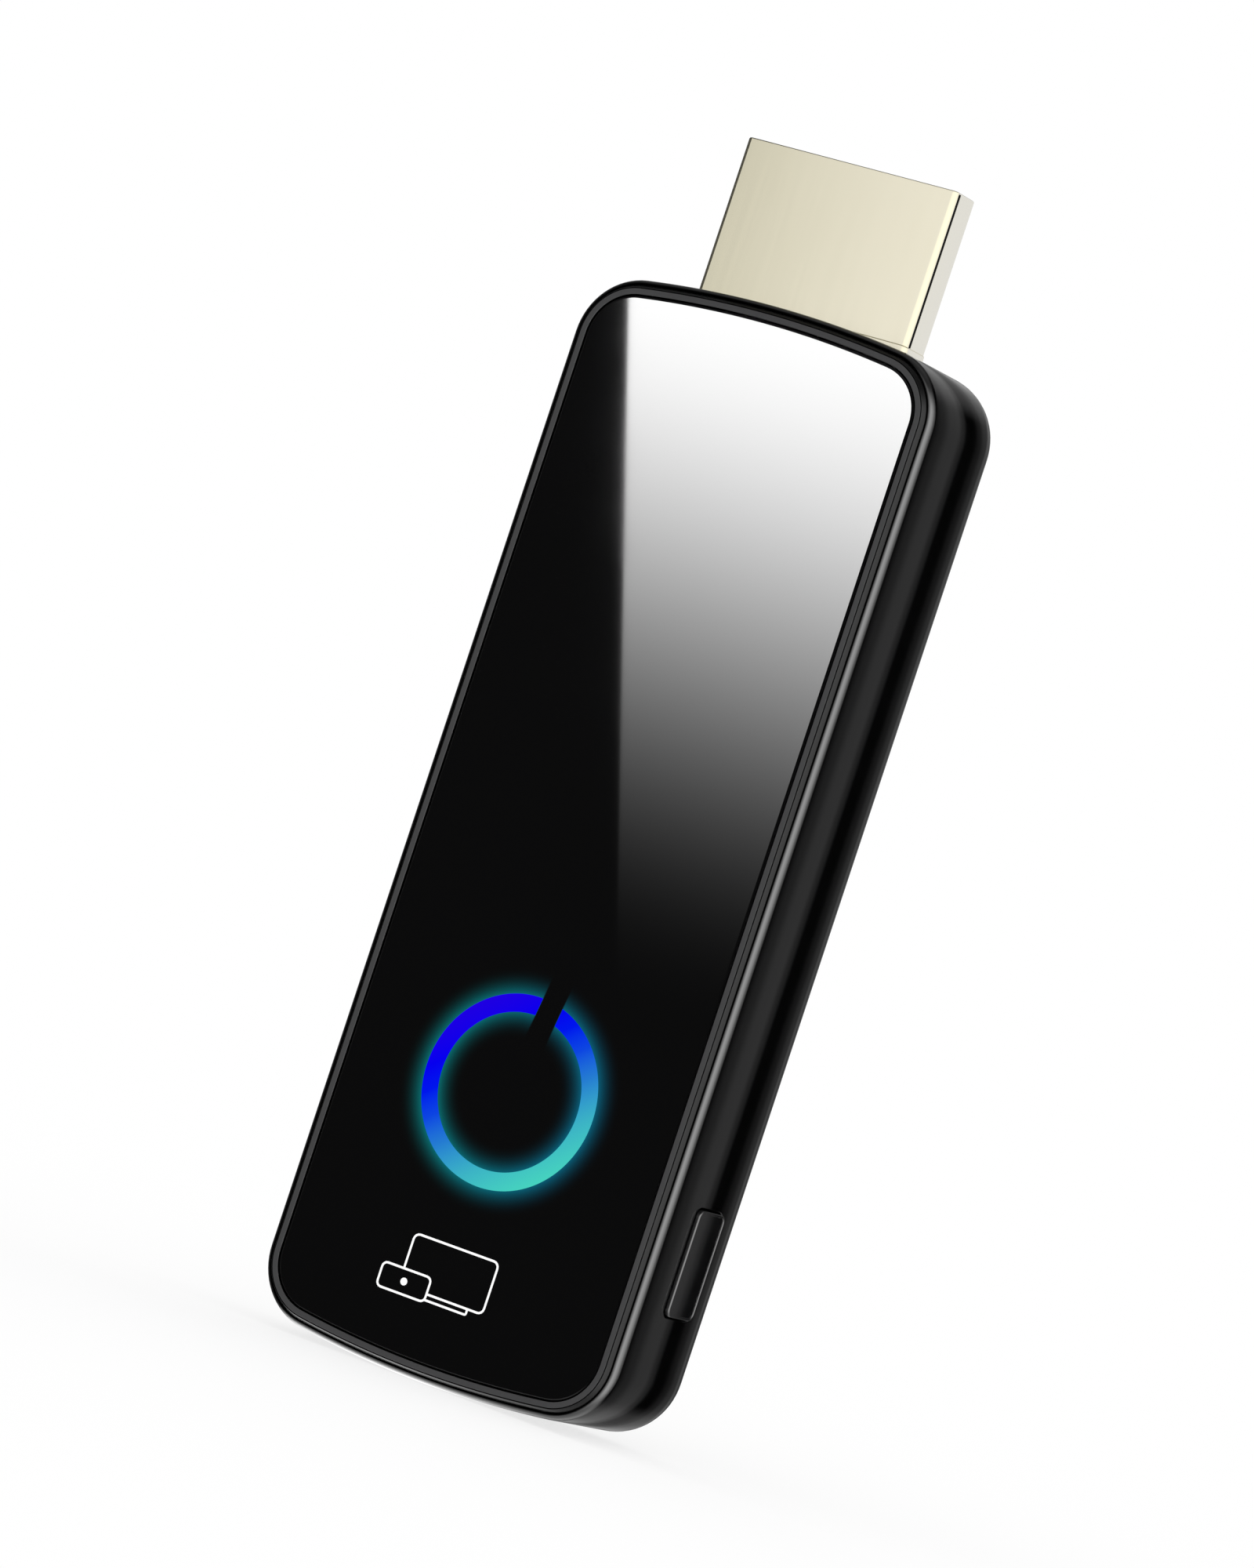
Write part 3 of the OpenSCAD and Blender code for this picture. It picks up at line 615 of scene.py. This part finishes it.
def slot_finishes():
    """One material for each of the record's slots.

    moulded takes colour, roughness, unevenness, and size and depth of the grain; brushed takes colour,
    roughness and how far its lines are drawn out along each axis.
    """
    return {
        "housing_plastic": housing_finish(),
        "bezel_plastic": bezel_finish(),
        "panel_gloss": panel_finish(),
        "panel_tape": moulded("panel_tape", (0.3, 0.3, 0.28), 0.8, 0.1, 0.1, 0.01),
        "icon_print": icon_finish(),
        "ring_light": ring_finish(),
        "white_plastic": moulded("white_plastic", (0.75, 0.75, 0.73), 0.45, 0.05, 0.08, 0.003),
        "lamp_chip": moulded("lamp_chip", (0.8, 0.75, 0.35), 0.3, 0.1, 0.1, 0.003),
        "button_plastic": button_finish(),
        "switch_plastic": moulded("switch_plastic", (0.03, 0.03, 0.032), 0.5, 0.1, 0.08, 0.004),
        "spring_steel": brushed("spring_steel", (0.6, 0.6, 0.6), 0.25, (1, 1, 20)),
        "board_laminate": laminate_finish(),
        "screw_steel": brushed("screw_steel", (0.55, 0.55, 0.56), 0.3, (1, 1, 1), 0.08),
        "plug_gold": plug_finish(),
        "black_insulator": moulded("black_insulator", (0.012, 0.012, 0.012), 0.5, 0.15, 0.08, 0.004),
        "contact_gold": brushed("contact_gold", (0.9, 0.68, 0.28), 0.2, (1, 1, 20)),
        "inlet_steel": brushed("inlet_steel", (0.62, 0.62, 0.63), 0.28, (20, 1, 1)),
        "chip_epoxy": moulded("chip_epoxy", (0.02, 0.02, 0.022), 0.6, 0.15, 0.06, 0.006),
        "thermal_pad": moulded("thermal_pad", (0.2, 0.35, 0.5), 0.85, 0.12, 0.12, 0.02),
        "spreader_metal": brushed("spreader_metal", (0.72, 0.73, 0.75), 0.35, (1, 1, 30)),
        "shield_metal": brushed("shield_metal", (0.68, 0.68, 0.69), 0.3, (30, 1, 1)),
        "ferrite": moulded("ferrite", (0.09, 0.09, 0.095), 0.7, 0.2, 0.08, 0.01),
        "ceramic_tan": moulded("ceramic_tan", (0.45, 0.32, 0.2), 0.4, 0.1, 0.1, 0.003),
        "ceramic_dark": moulded("ceramic_dark", (0.03, 0.03, 0.035), 0.4, 0.1, 0.1, 0.003),
        "ceramic_white": moulded("ceramic_white", (0.85, 0.85, 0.83), 0.35, 0.05, 0.1, 0.003),
        "label_film": moulded("label_film", (0.05, 0.05, 0.053), 0.55, 0.08, 0.09, 0.004),
    }


def dress(piece, slot):
    """Gives a piece one slot's material."""
    piece.data.materials.clear()
    piece.data.materials.append(FINISHES[slot])


def mount(piece, slot, body, *nodes):
    """Shades and dresses a new piece that stands for CAD nodes."""
    shade(piece)
    dress(piece, slot)
    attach(piece, body)
    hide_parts(*nodes)
    return piece


# Pieces ----------------------------------------------------------------------------------------

def ring_at(y, inset):
    """The casing's outline in the frame, inset, at depth y."""
    return [along_y(x, z, y) for x, z in outline(inset)]


def quarter(y, inset, reach_y, reach_in, start, stop, steps):
    """Levels (y, inset) along a quarter of an ellipse about (y, inset)."""
    return [(y + reach_y * v, inset + reach_in * u) for u, v in arc(0, 0, 1, start, stop, steps)]


def hole_edge(side, y, w):
    """Chooses the points near the outer edge of a hole of width w about y, in the wall on that side."""
    reach = w / 2 + EDGE_NEAR
    return lambda p: side * p.x > HALF_W - WALL_NEAR and abs(p.y - y) < reach


def build_housing():
    """The rear housing: one shell from the cavity's back round the rim to the outer back."""
    r = CAVITY_ROUND
    levels = quarter(BACK_Y - BACK_T - r, WALL_T + r, r, -r, 90, 0, 6)
    levels += [(SEAT_Y, WALL_T), (SEAT_Y, RIM_T), (RIM_Y + RIM_EDGE, RIM_T)]
    levels += quarter(RIM_Y + RIM_DEPTH, RIM_T, -RIM_DEPTH, -RIM_T, 90, 0, 10)
    r = BACK_ROUND
    levels += quarter(BACK_Y - r, r, r, -r, 0, 90, 16)
    shell = solid("rear_housing_shell", skin([ring_at(y, inset) for y, inset in levels]))
    button_w = BUTTON_W + 2 * BUTTON_GAP
    button_h = BUTTON_H + 2 * BUTTON_GAP
    button_hole = moved(rounded(button_w, button_h, BUTTON_R + BUTTON_GAP), BUTTON_Y, BUTTON_Z)
    inlet_w = INLET_T + 2 * INLET_GAP
    inlet_hole = moved(rounded(inlet_w, INLET_W + 2 * INLET_GAP, INLET_HOLE_R), INLET_Y, INLET_Z)
    label_w = 2 * LABEL_HIGH.x + 2 * LABEL_GAP
    label_h = LABEL_HIGH.z - LABEL_LOW.z + 2 * LABEL_GAP
    label_seat = moved(rounded(label_w, label_h, LABEL_R), 0, LABEL_Z)
    carve(
        shell,
        prism(filleted(plug_section(-PLUG_GAP), PLUG_HOLE_R), -WALL_T - 2 * CUT, 2 * CUT, along_z),
        prism(button_hole, HALF_W - WALL_T - CUT, HALF_W + CUT, along_x),
        prism(inlet_hole, -HALF_W - CUT, -HALF_W + WALL_T + CUT, along_x),
        prism(label_seat, LABEL_LOW.y, BACK_Y + CUT, along_y),
    )
    soften(shell, HOLE_ROUND, hole_edge(1, BUTTON_Y, button_w))
    soften(shell, HOLE_ROUND, hole_edge(-1, INLET_Y, inlet_w))
    return mount(shell, "housing_plastic", "casing", "rear_housing")


def build_bezel():
    """The front bezel: a flat face, a fine groove, a chamfer and a shelf behind the panel."""
    opening = BEZEL_IN + BEZEL_CHAMFER + BEZEL_FLAT
    groove = opening - BEZEL_FLAT + GROOVE_SHIFT
    crest = groove - GROOVE_W
    shelf_y = PANEL_HIGH.y + ADHESIVE_T
    soft = BEZEL_SOFT
    levels = [
        (SEAT_Y, opening + SHELF_W), (shelf_y, opening + SHELF_W), (shelf_y, opening),
        (FRONT_Y + soft, opening), (FRONT_Y, opening - soft),
        (FRONT_Y, groove + soft / 2), (FRONT_Y + soft / 2, groove), (FRONT_Y + GROOVE_W, groove),
        (FRONT_Y + GROOVE_W, crest), (FRONT_Y + soft, crest),
        (FRONT_Y + BEZEL_CHAMFER, BEZEL_IN + EDGE_STEP), (FRONT_Y + BEZEL_CHAMFER + EDGE_RUN, BEZEL_IN),
        (SEAT_Y, BEZEL_IN),
    ]
    bezel = solid("front_bezel_frame", skin([ring_at(y, inset) for y, inset in levels], closed=True))
    return mount(bezel, "bezel_plastic", "casing", "front_bezel")


def build_panel():
    """The glass front panel, its edge rounded over, with its slot for the ring's light guide."""
    face = FRONT_Y + FACE_IN
    levels = [(PANEL_HIGH.y, PANEL_IN)]
    levels += quarter(face + GLASS_ROUND, PANEL_IN + GLASS_ROUND, -GLASS_ROUND, -GLASS_ROUND, 0, 90, 6)
    panel = solid("front_panel_glass", skin([ring_at(y, inset) for y, inset in levels]))
    slot = moved(notched_ring(RING_R, RING_R - RING_W, GUIDE_GAP), 0, RING_Z)
    carve(panel, prism(slot, FRONT_Y - CUT, PANEL_HIGH.y + CUT, along_y))
    return mount(panel, "panel_gloss", "casing", "front_panel")


def build_guide():
    """The ring's light guide: the lit face and the flange behind the panel."""
    ring = moved(notched_ring(RING_R, RING_R - RING_W), 0, RING_Z)
    flange = moved(notched_ring(RING_R + GUIDE_FLANGE, RING_R - RING_W - GUIDE_FLANGE), 0, RING_Z)
    guide = solid(
        "ring_light_guide",
        prism(ring, FRONT_Y + FACE_IN, PANEL_HIGH.y + OVERLAP, along_y),
        prism(flange, PANEL_HIGH.y, GUIDE_HIGH.y, along_y),
    )
    return mount(guide, "ring_light", "casing", "light_guide")


def build_button():
    """The side button: a bar with a fine raised border, on a flange inside the wall."""
    edge = BUTTON_EDGE
    face_x = BUTTON_HIGH.x
    back_x = BUTTON_LOW.x + NUB_T

    def cap(x, inset):
        drawing = rounded(BUTTON_W - 2 * inset, BUTTON_H - 2 * inset, BUTTON_R - inset)
        return [along_x(u, v, x) for u, v in moved(drawing, BUTTON_Y, BUTTON_Z)]

    rings = [cap(back_x + FLANGE_T - OVERLAP, 0)]
    rings += [cap(face_x - edge * (1 - v), edge * (1 - u)) for u, v in arc(0, 0, 1, 0, 90, 5)]
    rings += [cap(face_x - FACE_SINK * (1 - u), edge + FACE_SINK * v) for u, v in arc(0, 0, 1, 0, 90, 4)]
    plate_w = BUTTON_W + 2 * FLANGE_LIP
    plate_h = BUTTON_H + 2 * FLANGE_LIP
    plate = moved(rounded(plate_w, plate_h, BUTTON_R), BUTTON_Y, BUTTON_Z)
    nub = moved(circle(NUB_R, 48), BUTTON_Y, BUTTON_Z)
    button = solid(
        "side_push_button", skin(rings), prism(plate, back_x, back_x + FLANGE_T, along_x),
        prism(nub, BUTTON_LOW.x, back_x + OVERLAP, along_x),
    )
    return mount(button, "button_plastic", "button", "side_button")


def both_sides(drawing):
    """The drawing and its mirror image in X."""
    return drawing, [(-u, v) for u, v in drawing]


def build_plug():
    """The plug's sheet shell: a flared root, rounded edges, side seams, latch windows and legs."""
    tip = PLUG_HIGH.z
    lip = PLUG_LIP

    def section(inset, z, follow):
        ring = filleted(plug_section(inset), PLUG_ROUND - inset / 2)
        return [along_z(u, v, z + follow * (math.sqrt(END_R * END_R - u * u) - END_R)) for u, v in ring]

    # Height, inset, and 1 where the level follows the casing's bulged end
    bend = 0.3 * lip
    levels = [
        (tip - lip, 0, 0), (tip - bend, bend, 0), (tip, lip, 0), (tip, PLUG_SHEET - lip, 0),
        (tip - lip, PLUG_SHEET, 0), (PLUG_BODY_LOW, PLUG_SHEET, 0), (PLUG_BODY_LOW, 0, 0),
        (ROOT_LOW - ROOT_STEP_LOW, 0, 1), (ROOT_LOW, -ROOT_FLARE, 1), (ROOT_RISE, -ROOT_FLARE, 1),
        (ROOT_RISE + ROOT_STEP_HIGH, 0, 1),
    ]
    shell = solid("plug_sleeve", skin([section(inset, z, k) for z, inset, k in levels], closed=True))
    side = PLUG_HIGH.x
    near = PLUG_LOW.y + PLUG_ROUND
    far = near + SEAM_W
    seam = [(side - SEAM_D, near), (side + 2 * CUT, near), (side + 2 * CUT, far), (side - SEAM_D, far)]
    window = rounded(LATCH_W, LATCH_H, LATCH_R)
    cuts = [prism(drawing, SEAM_END, tip - SEAM_END, along_z) for drawing in both_sides(seam)]
    windows = both_sides(moved(window, LATCH_X, LATCH_Z))
    cuts += [prism(drawing, *LATCH_CUT, along_y) for drawing in windows]
    carve(shell, *cuts)
    low = side - SEAM_D - OVERLAP
    high = side - OVERLAP
    strip = [(low, near), (high, near), (high, far), (low, far)]
    strips = [prism(drawing, SEAM_END, tip - SEAM_END, along_z) for drawing in both_sides(strip)]
    mount(solid("plug_seams", *strips), "black_insulator", "casing", "plug_shell")
    leg = [(side, PLUG_BODY_LOW + LEG_RISE), (side, PLUG_LOW.z), (side - LEG_W, PLUG_LOW.z),
           (side - LEG_W, PLUG_BODY_LOW), (side - PLUG_SHEET, PLUG_BODY_LOW),
           (side - PLUG_SHEET, PLUG_BODY_LOW + LEG_RISE)]
    legs = [prism(drawing, BOARD_LOW.y - PLUG_SHEET, BOARD_LOW.y, along_y) for drawing in both_sides(leg)]
    feet = mount(solid("plug_legs", *legs), "plug_gold", "casing", "plug_shell")
    return mount(shell, "plug_gold", "casing", "plug_shell"), feet


def build_inlet():
    """The power inlet's folded shell, open at the side wall, with rounded edges and two ears."""
    mouth = INLET_LOW.x
    back = INLET_HIGH.x
    lip = INLET_LIP

    def section(inset, x):
        t = INLET_T / 2 - inset
        w = INLET_W / 2 - inset
        nip = INLET_NIP - inset * INLET_NIP_SHRINK
        shape = [(-t, -w), (t - nip, -w), (t, nip - w), (t, w - nip), (t - nip, w), (-t, w)]
        drawing = moved(filleted(shape, INLET_ROUND - inset * INLET_ROUND_SHRINK), INLET_Y, INLET_Z)
        return [along_x(u, v, x) for u, v in drawing]

    levels = [(back - INLET_SHEET, INLET_SHEET), (mouth + lip, INLET_SHEET), (mouth, INLET_SHEET - lip),
              (mouth, lip), (mouth + lip, 0), (back, 0)]
    near = (back + mouth) / 2
    far = near + INLET_EAR_LEN
    ears = []
    for hand in (-1, 1):
        inner = INLET_Z + hand * (INLET_W / 2 - INLET_SHEET)
        outer = INLET_Z + hand * (INLET_W / 2 + INLET_EAR)
        ear = [(near, inner), (far, inner), (far, outer), (near, outer)]
        ears.append(prism(ear, BOARD_HIGH.y, BOARD_HIGH.y + INLET_SHEET, along_y))
    shell = solid("inlet_sleeve", skin([section(inset, x) for x, inset in levels]), *ears)
    return mount(shell, "inlet_steel", "casing", "inlet_shell")


# The stage -------------------------------------------------------------------------------------

# The camera: degrees, and millimetres for its lens, sensor and place; how near and far it sees, in metres
SENSOR = 36
CLIP = (0.01, 20)
AZIMUTH = 28.39
ELEVATION = -1.18
ROLL = 18.38
LENS = 158.7
DISTANCE = 387.24
AIM_RIGHT = 1.936
AIM_UP = 3.201


def place_camera():
    """The camera of the view from the right, rolled so that the player leans, in millimetres."""
    a, e, roll = (math.radians(v) for v in (AZIMUTH, ELEVATION, ROLL))
    level = Vector((math.cos(a), math.sin(a), 0))
    upright = Vector((-math.sin(a) * math.sin(e), math.cos(a) * math.sin(e), math.cos(e)))
    back = Vector((math.sin(a) * math.cos(e), -math.cos(a) * math.cos(e), math.sin(e)))
    right = level * math.cos(roll) + upright * math.sin(roll)
    up = upright * math.cos(roll) - level * math.sin(roll)
    centre = Vector((0, FRONT_Y, MID_Z))
    eye = centre + back * DISTANCE + right * AIM_RIGHT + up * AIM_UP
    data = bpy.data.cameras.new("camera")
    data.lens = LENS
    data.sensor_width = SENSOR
    data.clip_start, data.clip_end = CLIP
    camera = bpy.data.objects.new("camera", data)
    turn = Matrix((right, up, back)).transposed().to_4x4()
    camera.matrix_world = Matrix.Translation(eye * MM) @ turn
    bpy.context.collection.objects.link(camera)
    bpy.context.scene.camera = camera
    return eye


def around(tree, x, y):
    """The azimuth of a direction as a share of a whole turn: 0 and 1 at -X, a half at +X."""
    turn = tree.math("ARCTAN2", y, x)
    return tree.spread(turn, -math.pi, math.pi, kind="LINEAR")


def light_stops(lights):
    """Ramp stops from (azimuth in degrees, grey or coloured light) pairs; 0 is +X and 90 is +Y."""
    stops = []
    for azimuth, light in lights:
        colour = light if isinstance(light, tuple) else (light,) * 3
        stops.append(((azimuth + 180) / 360, colour))
    return stops


def depth_stops(lights, peak=1.0):
    """Ramp stops from (depth behind the front plane, light) pairs, the light as a share of the peak."""
    first = lights[0][0]
    last = lights[-1][0]
    return [((depth - first) / (last - first), (light / peak,) * 3) for depth, light in lights]


# The studio as seen in reflections: its sides by azimuth, and its lights below and above
STUDIO = (
    (-180, 0.05), (-165, 0.1), (-150, 0.1), (-135, 0.0), (75, 0.0), (100, 0.04), (135, 0.1), (160, 0.1),
    (180, 0.05),
)
STUDIO_BELOW = 0.6
STUDIO_ABOVE = 0.4
# Heights, as shares, between which the sides fade out and the lights below and above come in
SIDE_FADE = (0.8, 0.4)
BELOW_FADE = (-0.5, -0.85)
ABOVE_FADE = (0.6, 0.95)


def light_world():
    """White all round for the camera, even light for matt surfaces, and little for reflections."""
    world = bpy.data.worlds.new("studio")
    bpy.context.scene.world = world
    tree = Tree(world)
    ray = tree.add("ShaderNodeLightPath").outputs
    point = tree.add("ShaderNodeTexCoord").outputs["Generated"]
    x, y, z = tree.add("ShaderNodeSeparateXYZ", (point,)).outputs
    strips = tree.ramp(around(tree, x, y), light_stops(STUDIO), "EASE")
    level = tree.spread(tree.math("ABSOLUTE", z), *SIDE_FADE)
    below = tree.spread(z, *BELOW_FADE, 0.0, STUDIO_BELOW)
    above = tree.spread(z, *ABOVE_FADE, 0.0, STUDIO_ABOVE)
    glossy = tree.math("ADD", tree.math("MULTIPLY", strips, level), tree.math("ADD", below, above))
    even = tree.math("SUBTRACT", 1.0, ray["Is Glossy Ray"])
    strength = tree.math("ADD", even, tree.math("MULTIPLY", glossy, ray["Is Glossy Ray"]))
    sky = tree.nodes["Background"]
    sky.inputs["Color"].default_value = (1, 1, 1, 1)
    tree.put(strength, sky.inputs["Strength"])
    world.cycles.sampling_method = "NONE"


FLOOR_SHADE = 0.25
FLOOR_REACH = 6000


def build_floor():
    """A pale floor under the foot, open from below, that takes only a light shadow."""
    made, tree, shader = finish_of("floor_paint", (1, 1, 1), 0.9)
    shader.inputs["Specular IOR Level"].default_value = 0.0
    behind = tree.add("ShaderNodeNewGeometry").outputs["Backfacing"]
    clear = tree.add("ShaderNodeBsdfTransparent").outputs[0]
    even = tree.add("ShaderNodeEmission").outputs[0]
    light = tree.add("ShaderNodeMixShader", (FLOOR_SHADE, even, shader.outputs[0])).outputs[0]
    both = tree.add("ShaderNodeMixShader", (behind, light, clear)).outputs[0]
    tree.put(both, tree.nodes["Material Output"].inputs["Surface"])
    made.cycles.emission_sampling = "NONE"
    r = FLOOR_REACH
    points = [(-r, -r, FOOT_Z), (r, -r, FOOT_Z), (r, r, FOOT_Z), (-r, r, FOOT_Z)]
    floor = solid("floor", (points, [(0, 1, 2, 3)]))
    floor.data.materials.append(made)
    floor.visible_glossy = False


def build_lamp(name, shape, *pieces):
    """A clear shape that gives light, seen only by reflection in these pieces.

    Returns the shape, and the tree and the emission node of its material.
    """
    lamp = solid(name, shape)
    lamp.visible_camera = False
    lamp.visible_diffuse = False
    lamp.visible_transmission = False
    lamp.visible_shadow = False
    group = bpy.data.collections.new(name + "_on")
    for piece in pieces:
        group.objects.link(piece)
    lamp.light_linking.receiver_collection = group
    made = bpy.data.materials.new(name + "_light")
    tree = Tree(made)
    glow = tree.add("ShaderNodeEmission")
    clear = tree.add("ShaderNodeBsdfTransparent").outputs[0]
    both = tree.add("ShaderNodeAddShader", (glow.outputs[0], clear)).outputs[0]
    tree.put(both, tree.nodes["Material Output"].inputs["Surface"])
    made.cycles.emission_sampling = "NONE"
    lamp.data.materials.append(made)
    return lamp, tree, glow


# The softbox: how far off it stands, and where its edges and the end of its fade show in the panel
CARD_OFF = 80.0
CARD_TOP_X = -8.7
CARD_TOP_Z = -2.3
CARD_FOOT_X = 4.65
CARD_FOOT_Z = -40.0
CARD_HIGH_Z = 2.0
CARD_RIGHT_X = 14
CARD_FADE_Z = -42.5
CARD_FALL = 2.2
CARD_LIGHT = 24.5


def build_card(eye, panel):
    """The softbox seen in the panel: each of its corners is placed by its reflection in the glass."""
    twin = Vector((eye.x, 2 * FRONT_Y - eye.y, eye.z))

    def seen_at(x, z):
        spot = Vector((x, FRONT_Y, z))
        return spot + (spot - twin) * CARD_OFF / (twin.y - FRONT_Y)

    slope = (CARD_FOOT_X - CARD_TOP_X) / (CARD_FOOT_Z - CARD_TOP_Z)
    top = CARD_HIGH_Z
    foot = CARD_FADE_Z - 1
    left_top = CARD_TOP_X + slope * (top - CARD_TOP_Z)
    left_foot = CARD_TOP_X + slope * (foot - CARD_TOP_Z)
    points = [seen_at(left_top, top), seen_at(CARD_RIGHT_X, top), seen_at(CARD_RIGHT_X, foot),
              seen_at(left_foot, foot)]
    _, tree, glow = build_lamp("softbox", (points, [(0, 1, 2, 3)]), panel)
    _, _, z = tree.place()
    fade = tree.spread(z, seen_at(0, CARD_FADE_Z).z, seen_at(0, 0).z)
    tree.put(tree.math("MULTIPLY", tree.math("POWER", fade, CARD_FALL), CARD_LIGHT), glow.inputs["Strength"])


# The strip: (depth behind the front plane, light), its distance from the wall and its fade along X
WALL_LIGHT = (
    (-0.1, 0.0), (0.8, 0.02), (1.9, 0.11), (3.2, 0.24), (4.1, 0.25), (4.8, 0.12), (5.35, 0.0), (6.3, 0.0),
    (7.1, 0.06), (7.8, 0.2), (9.1, 0.35), (14.0, 0.3),
)
STRIP_OFF = 1.0
STRIP_SHIFT = STRIP_OFF / math.tan(math.radians(AZIMUTH))
STRIP_FROM = 2.0
STRIP_FULL = 9.0


def build_strip(*pieces):
    """A strip of light close round the right side and its corners, seen by reflection in the wall.

    Its light runs with the depth behind the front plane at which the wall reflects it.
    """
    ring = outline(-STRIP_OFF)
    half = len(ring) // 2
    path = [p for p in ring[half:] + ring[:half] if p[0] > STRIP_FROM]
    near = FRONT_Y + WALL_LIGHT[0][0] + STRIP_SHIFT
    far = FRONT_Y + WALL_LIGHT[-1][0] + STRIP_SHIFT
    points = [along_y(x, z, y) for y in (near, far) for x, z in path]
    count = len(path)
    faces = [(i, i + 1, count + i + 1, count + i) for i in range(count - 1)]
    _, tree, glow = build_lamp("strip", (points, faces), *pieces)
    x, y, _ = tree.place()
    light = tree.ramp(tree.spread(y, near, far, kind="LINEAR"), depth_stops(WALL_LIGHT), "EASE")
    fade = tree.spread(x, STRIP_FROM, STRIP_FULL)
    tree.put(tree.math("MULTIPLY", light, fade), glow.inputs["Strength"])


# The table top: (depth behind the front plane, light), its ends and fades along X, and its drop
FOOT_LIGHT = ((-3.9, 0.5), (-0.5, 1.6), (0.7, 3.4), (1.9, 2.4), (3.6, 1.3), (6.5, 0.35), (9.5, 0.0))
FOOT_PEAK = 4.0
FOOT_LEFT = -13
FOOT_LEFT_FULL = -9
FOOT_RIGHT_FULL = -2.0
FOOT_RIGHT = 9.5
FOOT_DROP = 0.35


def build_foot_card(*pieces):
    """The bright table top close under the foot, fading toward the left, the right and the back."""
    near = FRONT_Y + FOOT_LIGHT[0][0]
    far = FRONT_Y + FOOT_LIGHT[-1][0]
    level = FOOT_Z - FOOT_DROP
    points = [(FOOT_LEFT, near, level), (FOOT_RIGHT, near, level), (FOOT_RIGHT, far, level),
              (FOOT_LEFT, far, level)]
    _, tree, glow = build_lamp("table_glow", (points, [(0, 1, 2, 3)]), *pieces)
    x, y, _ = tree.place()
    light = tree.ramp(tree.spread(y, near, far, kind="LINEAR"), depth_stops(FOOT_LIGHT, FOOT_PEAK), "EASE")
    right = tree.spread(x, FOOT_RIGHT, FOOT_RIGHT_FULL, 0.0, FOOT_PEAK)
    left = tree.spread(x, FOOT_LEFT, FOOT_LEFT_FULL)
    tree.put(tree.math("MULTIPLY", light, tree.math("MULTIPLY", right, left)), glow.inputs["Strength"])


# Round tents of light, as seen by one kind of surface only. sides is the light by azimuth; between
# the two heights in fade, as shares of the radius, it goes over to the light from below. lamp is one
# soft lamp on the tent: azimuth, elevation, half angle and light.
HOUSING_TENT = {
    "radius": 300.0,
    "sides": (
        (-180, 0.12), (-150, 0.1), (-125, 0.0), (-105, 0.0), (-92, 0.9), (-80, 2.2), (-46, 5.0),
        (-20, 7.4), (0, 6.0), (16, 4.4), (29, 2.0), (41, 0.8), (50, 0.0), (74, 0.0), (85, 0.1),
        (118, 0.1), (135, 0.3), (160, 0.2), (180, 0.12),
    ),
    "fade": (0.5, 0.9),
    "below": 1.2,
    "lamp": (95, 15, 25, 0.1),
}
METAL_TENT = {
    "radius": 80.0,
    "sides": (
        (-180, 0.0), (-131, 0.0), (-124.5, (0.78, 0.78, 0.76)), (-113, (0.98, 0.98, 1.06)), (-90, 1.2),
        (-20, 1.3), (40, 1.05), (56, (0.8, 0.83, 1.0)), (68, (0.9, 0.93, 1.14)), (90, 0.8), (108, 0.4),
        (122, 0.0), (180, 0.0),
    ),
    "fade": (0.3, 0.9),
    "below": 0.7,
}
METAL_TENT_Z = 4


def build_tent(name, tent, centre, *pieces):
    """A round tent of light about a centre, seen only by reflection in the given pieces."""
    radius = tent["radius"]
    full, gone = tent["fade"]
    rings = []
    for tilt in range(-85, 86, 10):
        t = math.radians(tilt)
        ring = circle(radius * math.cos(t), 120)
        rings.append([along_z(u, v, radius * math.sin(t)) for u, v in ring])
    shape, tree, glow = build_lamp(name, skin(rings), *pieces)
    shape.location = centre * MM
    x, y, z = tree.place()
    colour = tree.ramp(around(tree, x, y), light_stops(tent["sides"]))
    height = tree.math("DIVIDE", z, radius)
    fade = tree.spread(tree.math("ABSOLUTE", height), gone, full)
    lit = tree.add("ShaderNodeVectorMath", (colour,), operation="SCALE")
    tree.put(fade, lit.inputs["Scale"])
    more = tree.spread(height, -full, -gone, 0.0, tent["below"])
    if "lamp" in tent:
        turn, tilt, reach = (math.radians(angle) for angle in tent["lamp"][:3])
        aim = (math.cos(tilt) * math.cos(turn), math.cos(tilt) * math.sin(turn), math.sin(tilt))
        shares = [tree.math("MULTIPLY", axis, part / radius) for axis, part in zip((x, y, z), aim)]
        near = tree.math("ADD", tree.math("ADD", shares[0], shares[1]), shares[2])
        more = tree.math("ADD", more, tree.spread(near, math.cos(reach), 1.0, 0.0, tent["lamp"][3]))
    both = tree.add("ShaderNodeVectorMath", (lit.outputs[0], None), operation="ADD")
    tree.put(more, both.inputs[1])
    tree.put(both.outputs[0], glow.inputs["Color"])


# The scene -------------------------------------------------------------------------------------

FINISHES = slot_finishes()
for part in frame["record"]["subparts"]:
    dress(frame["nodes"][part["node"]], part["material_slot"])
eye = place_camera()
light_world()
build_floor()
housing = build_housing()
bezel = build_bezel()
panel = build_panel()
build_guide()
button = build_button()
plug, feet = build_plug()
inlet = build_inlet()
contacts = [frame["nodes"][name] for name in ("plug_contacts", "inlet_contacts")]
build_card(eye, panel)
build_strip(housing, button)
build_foot_card(housing, bezel)
build_tent("house_tent", HOUSING_TENT, Vector((0, 0, MID_Z)), housing, button, bezel)
build_tent("metal_tent", METAL_TENT, Vector((0, 0, METAL_TENT_Z)), plug, feet, inlet, *contacts)

scene = bpy.context.scene
scene.view_settings.view_transform = "Standard"
scene.view_settings.look = "None"
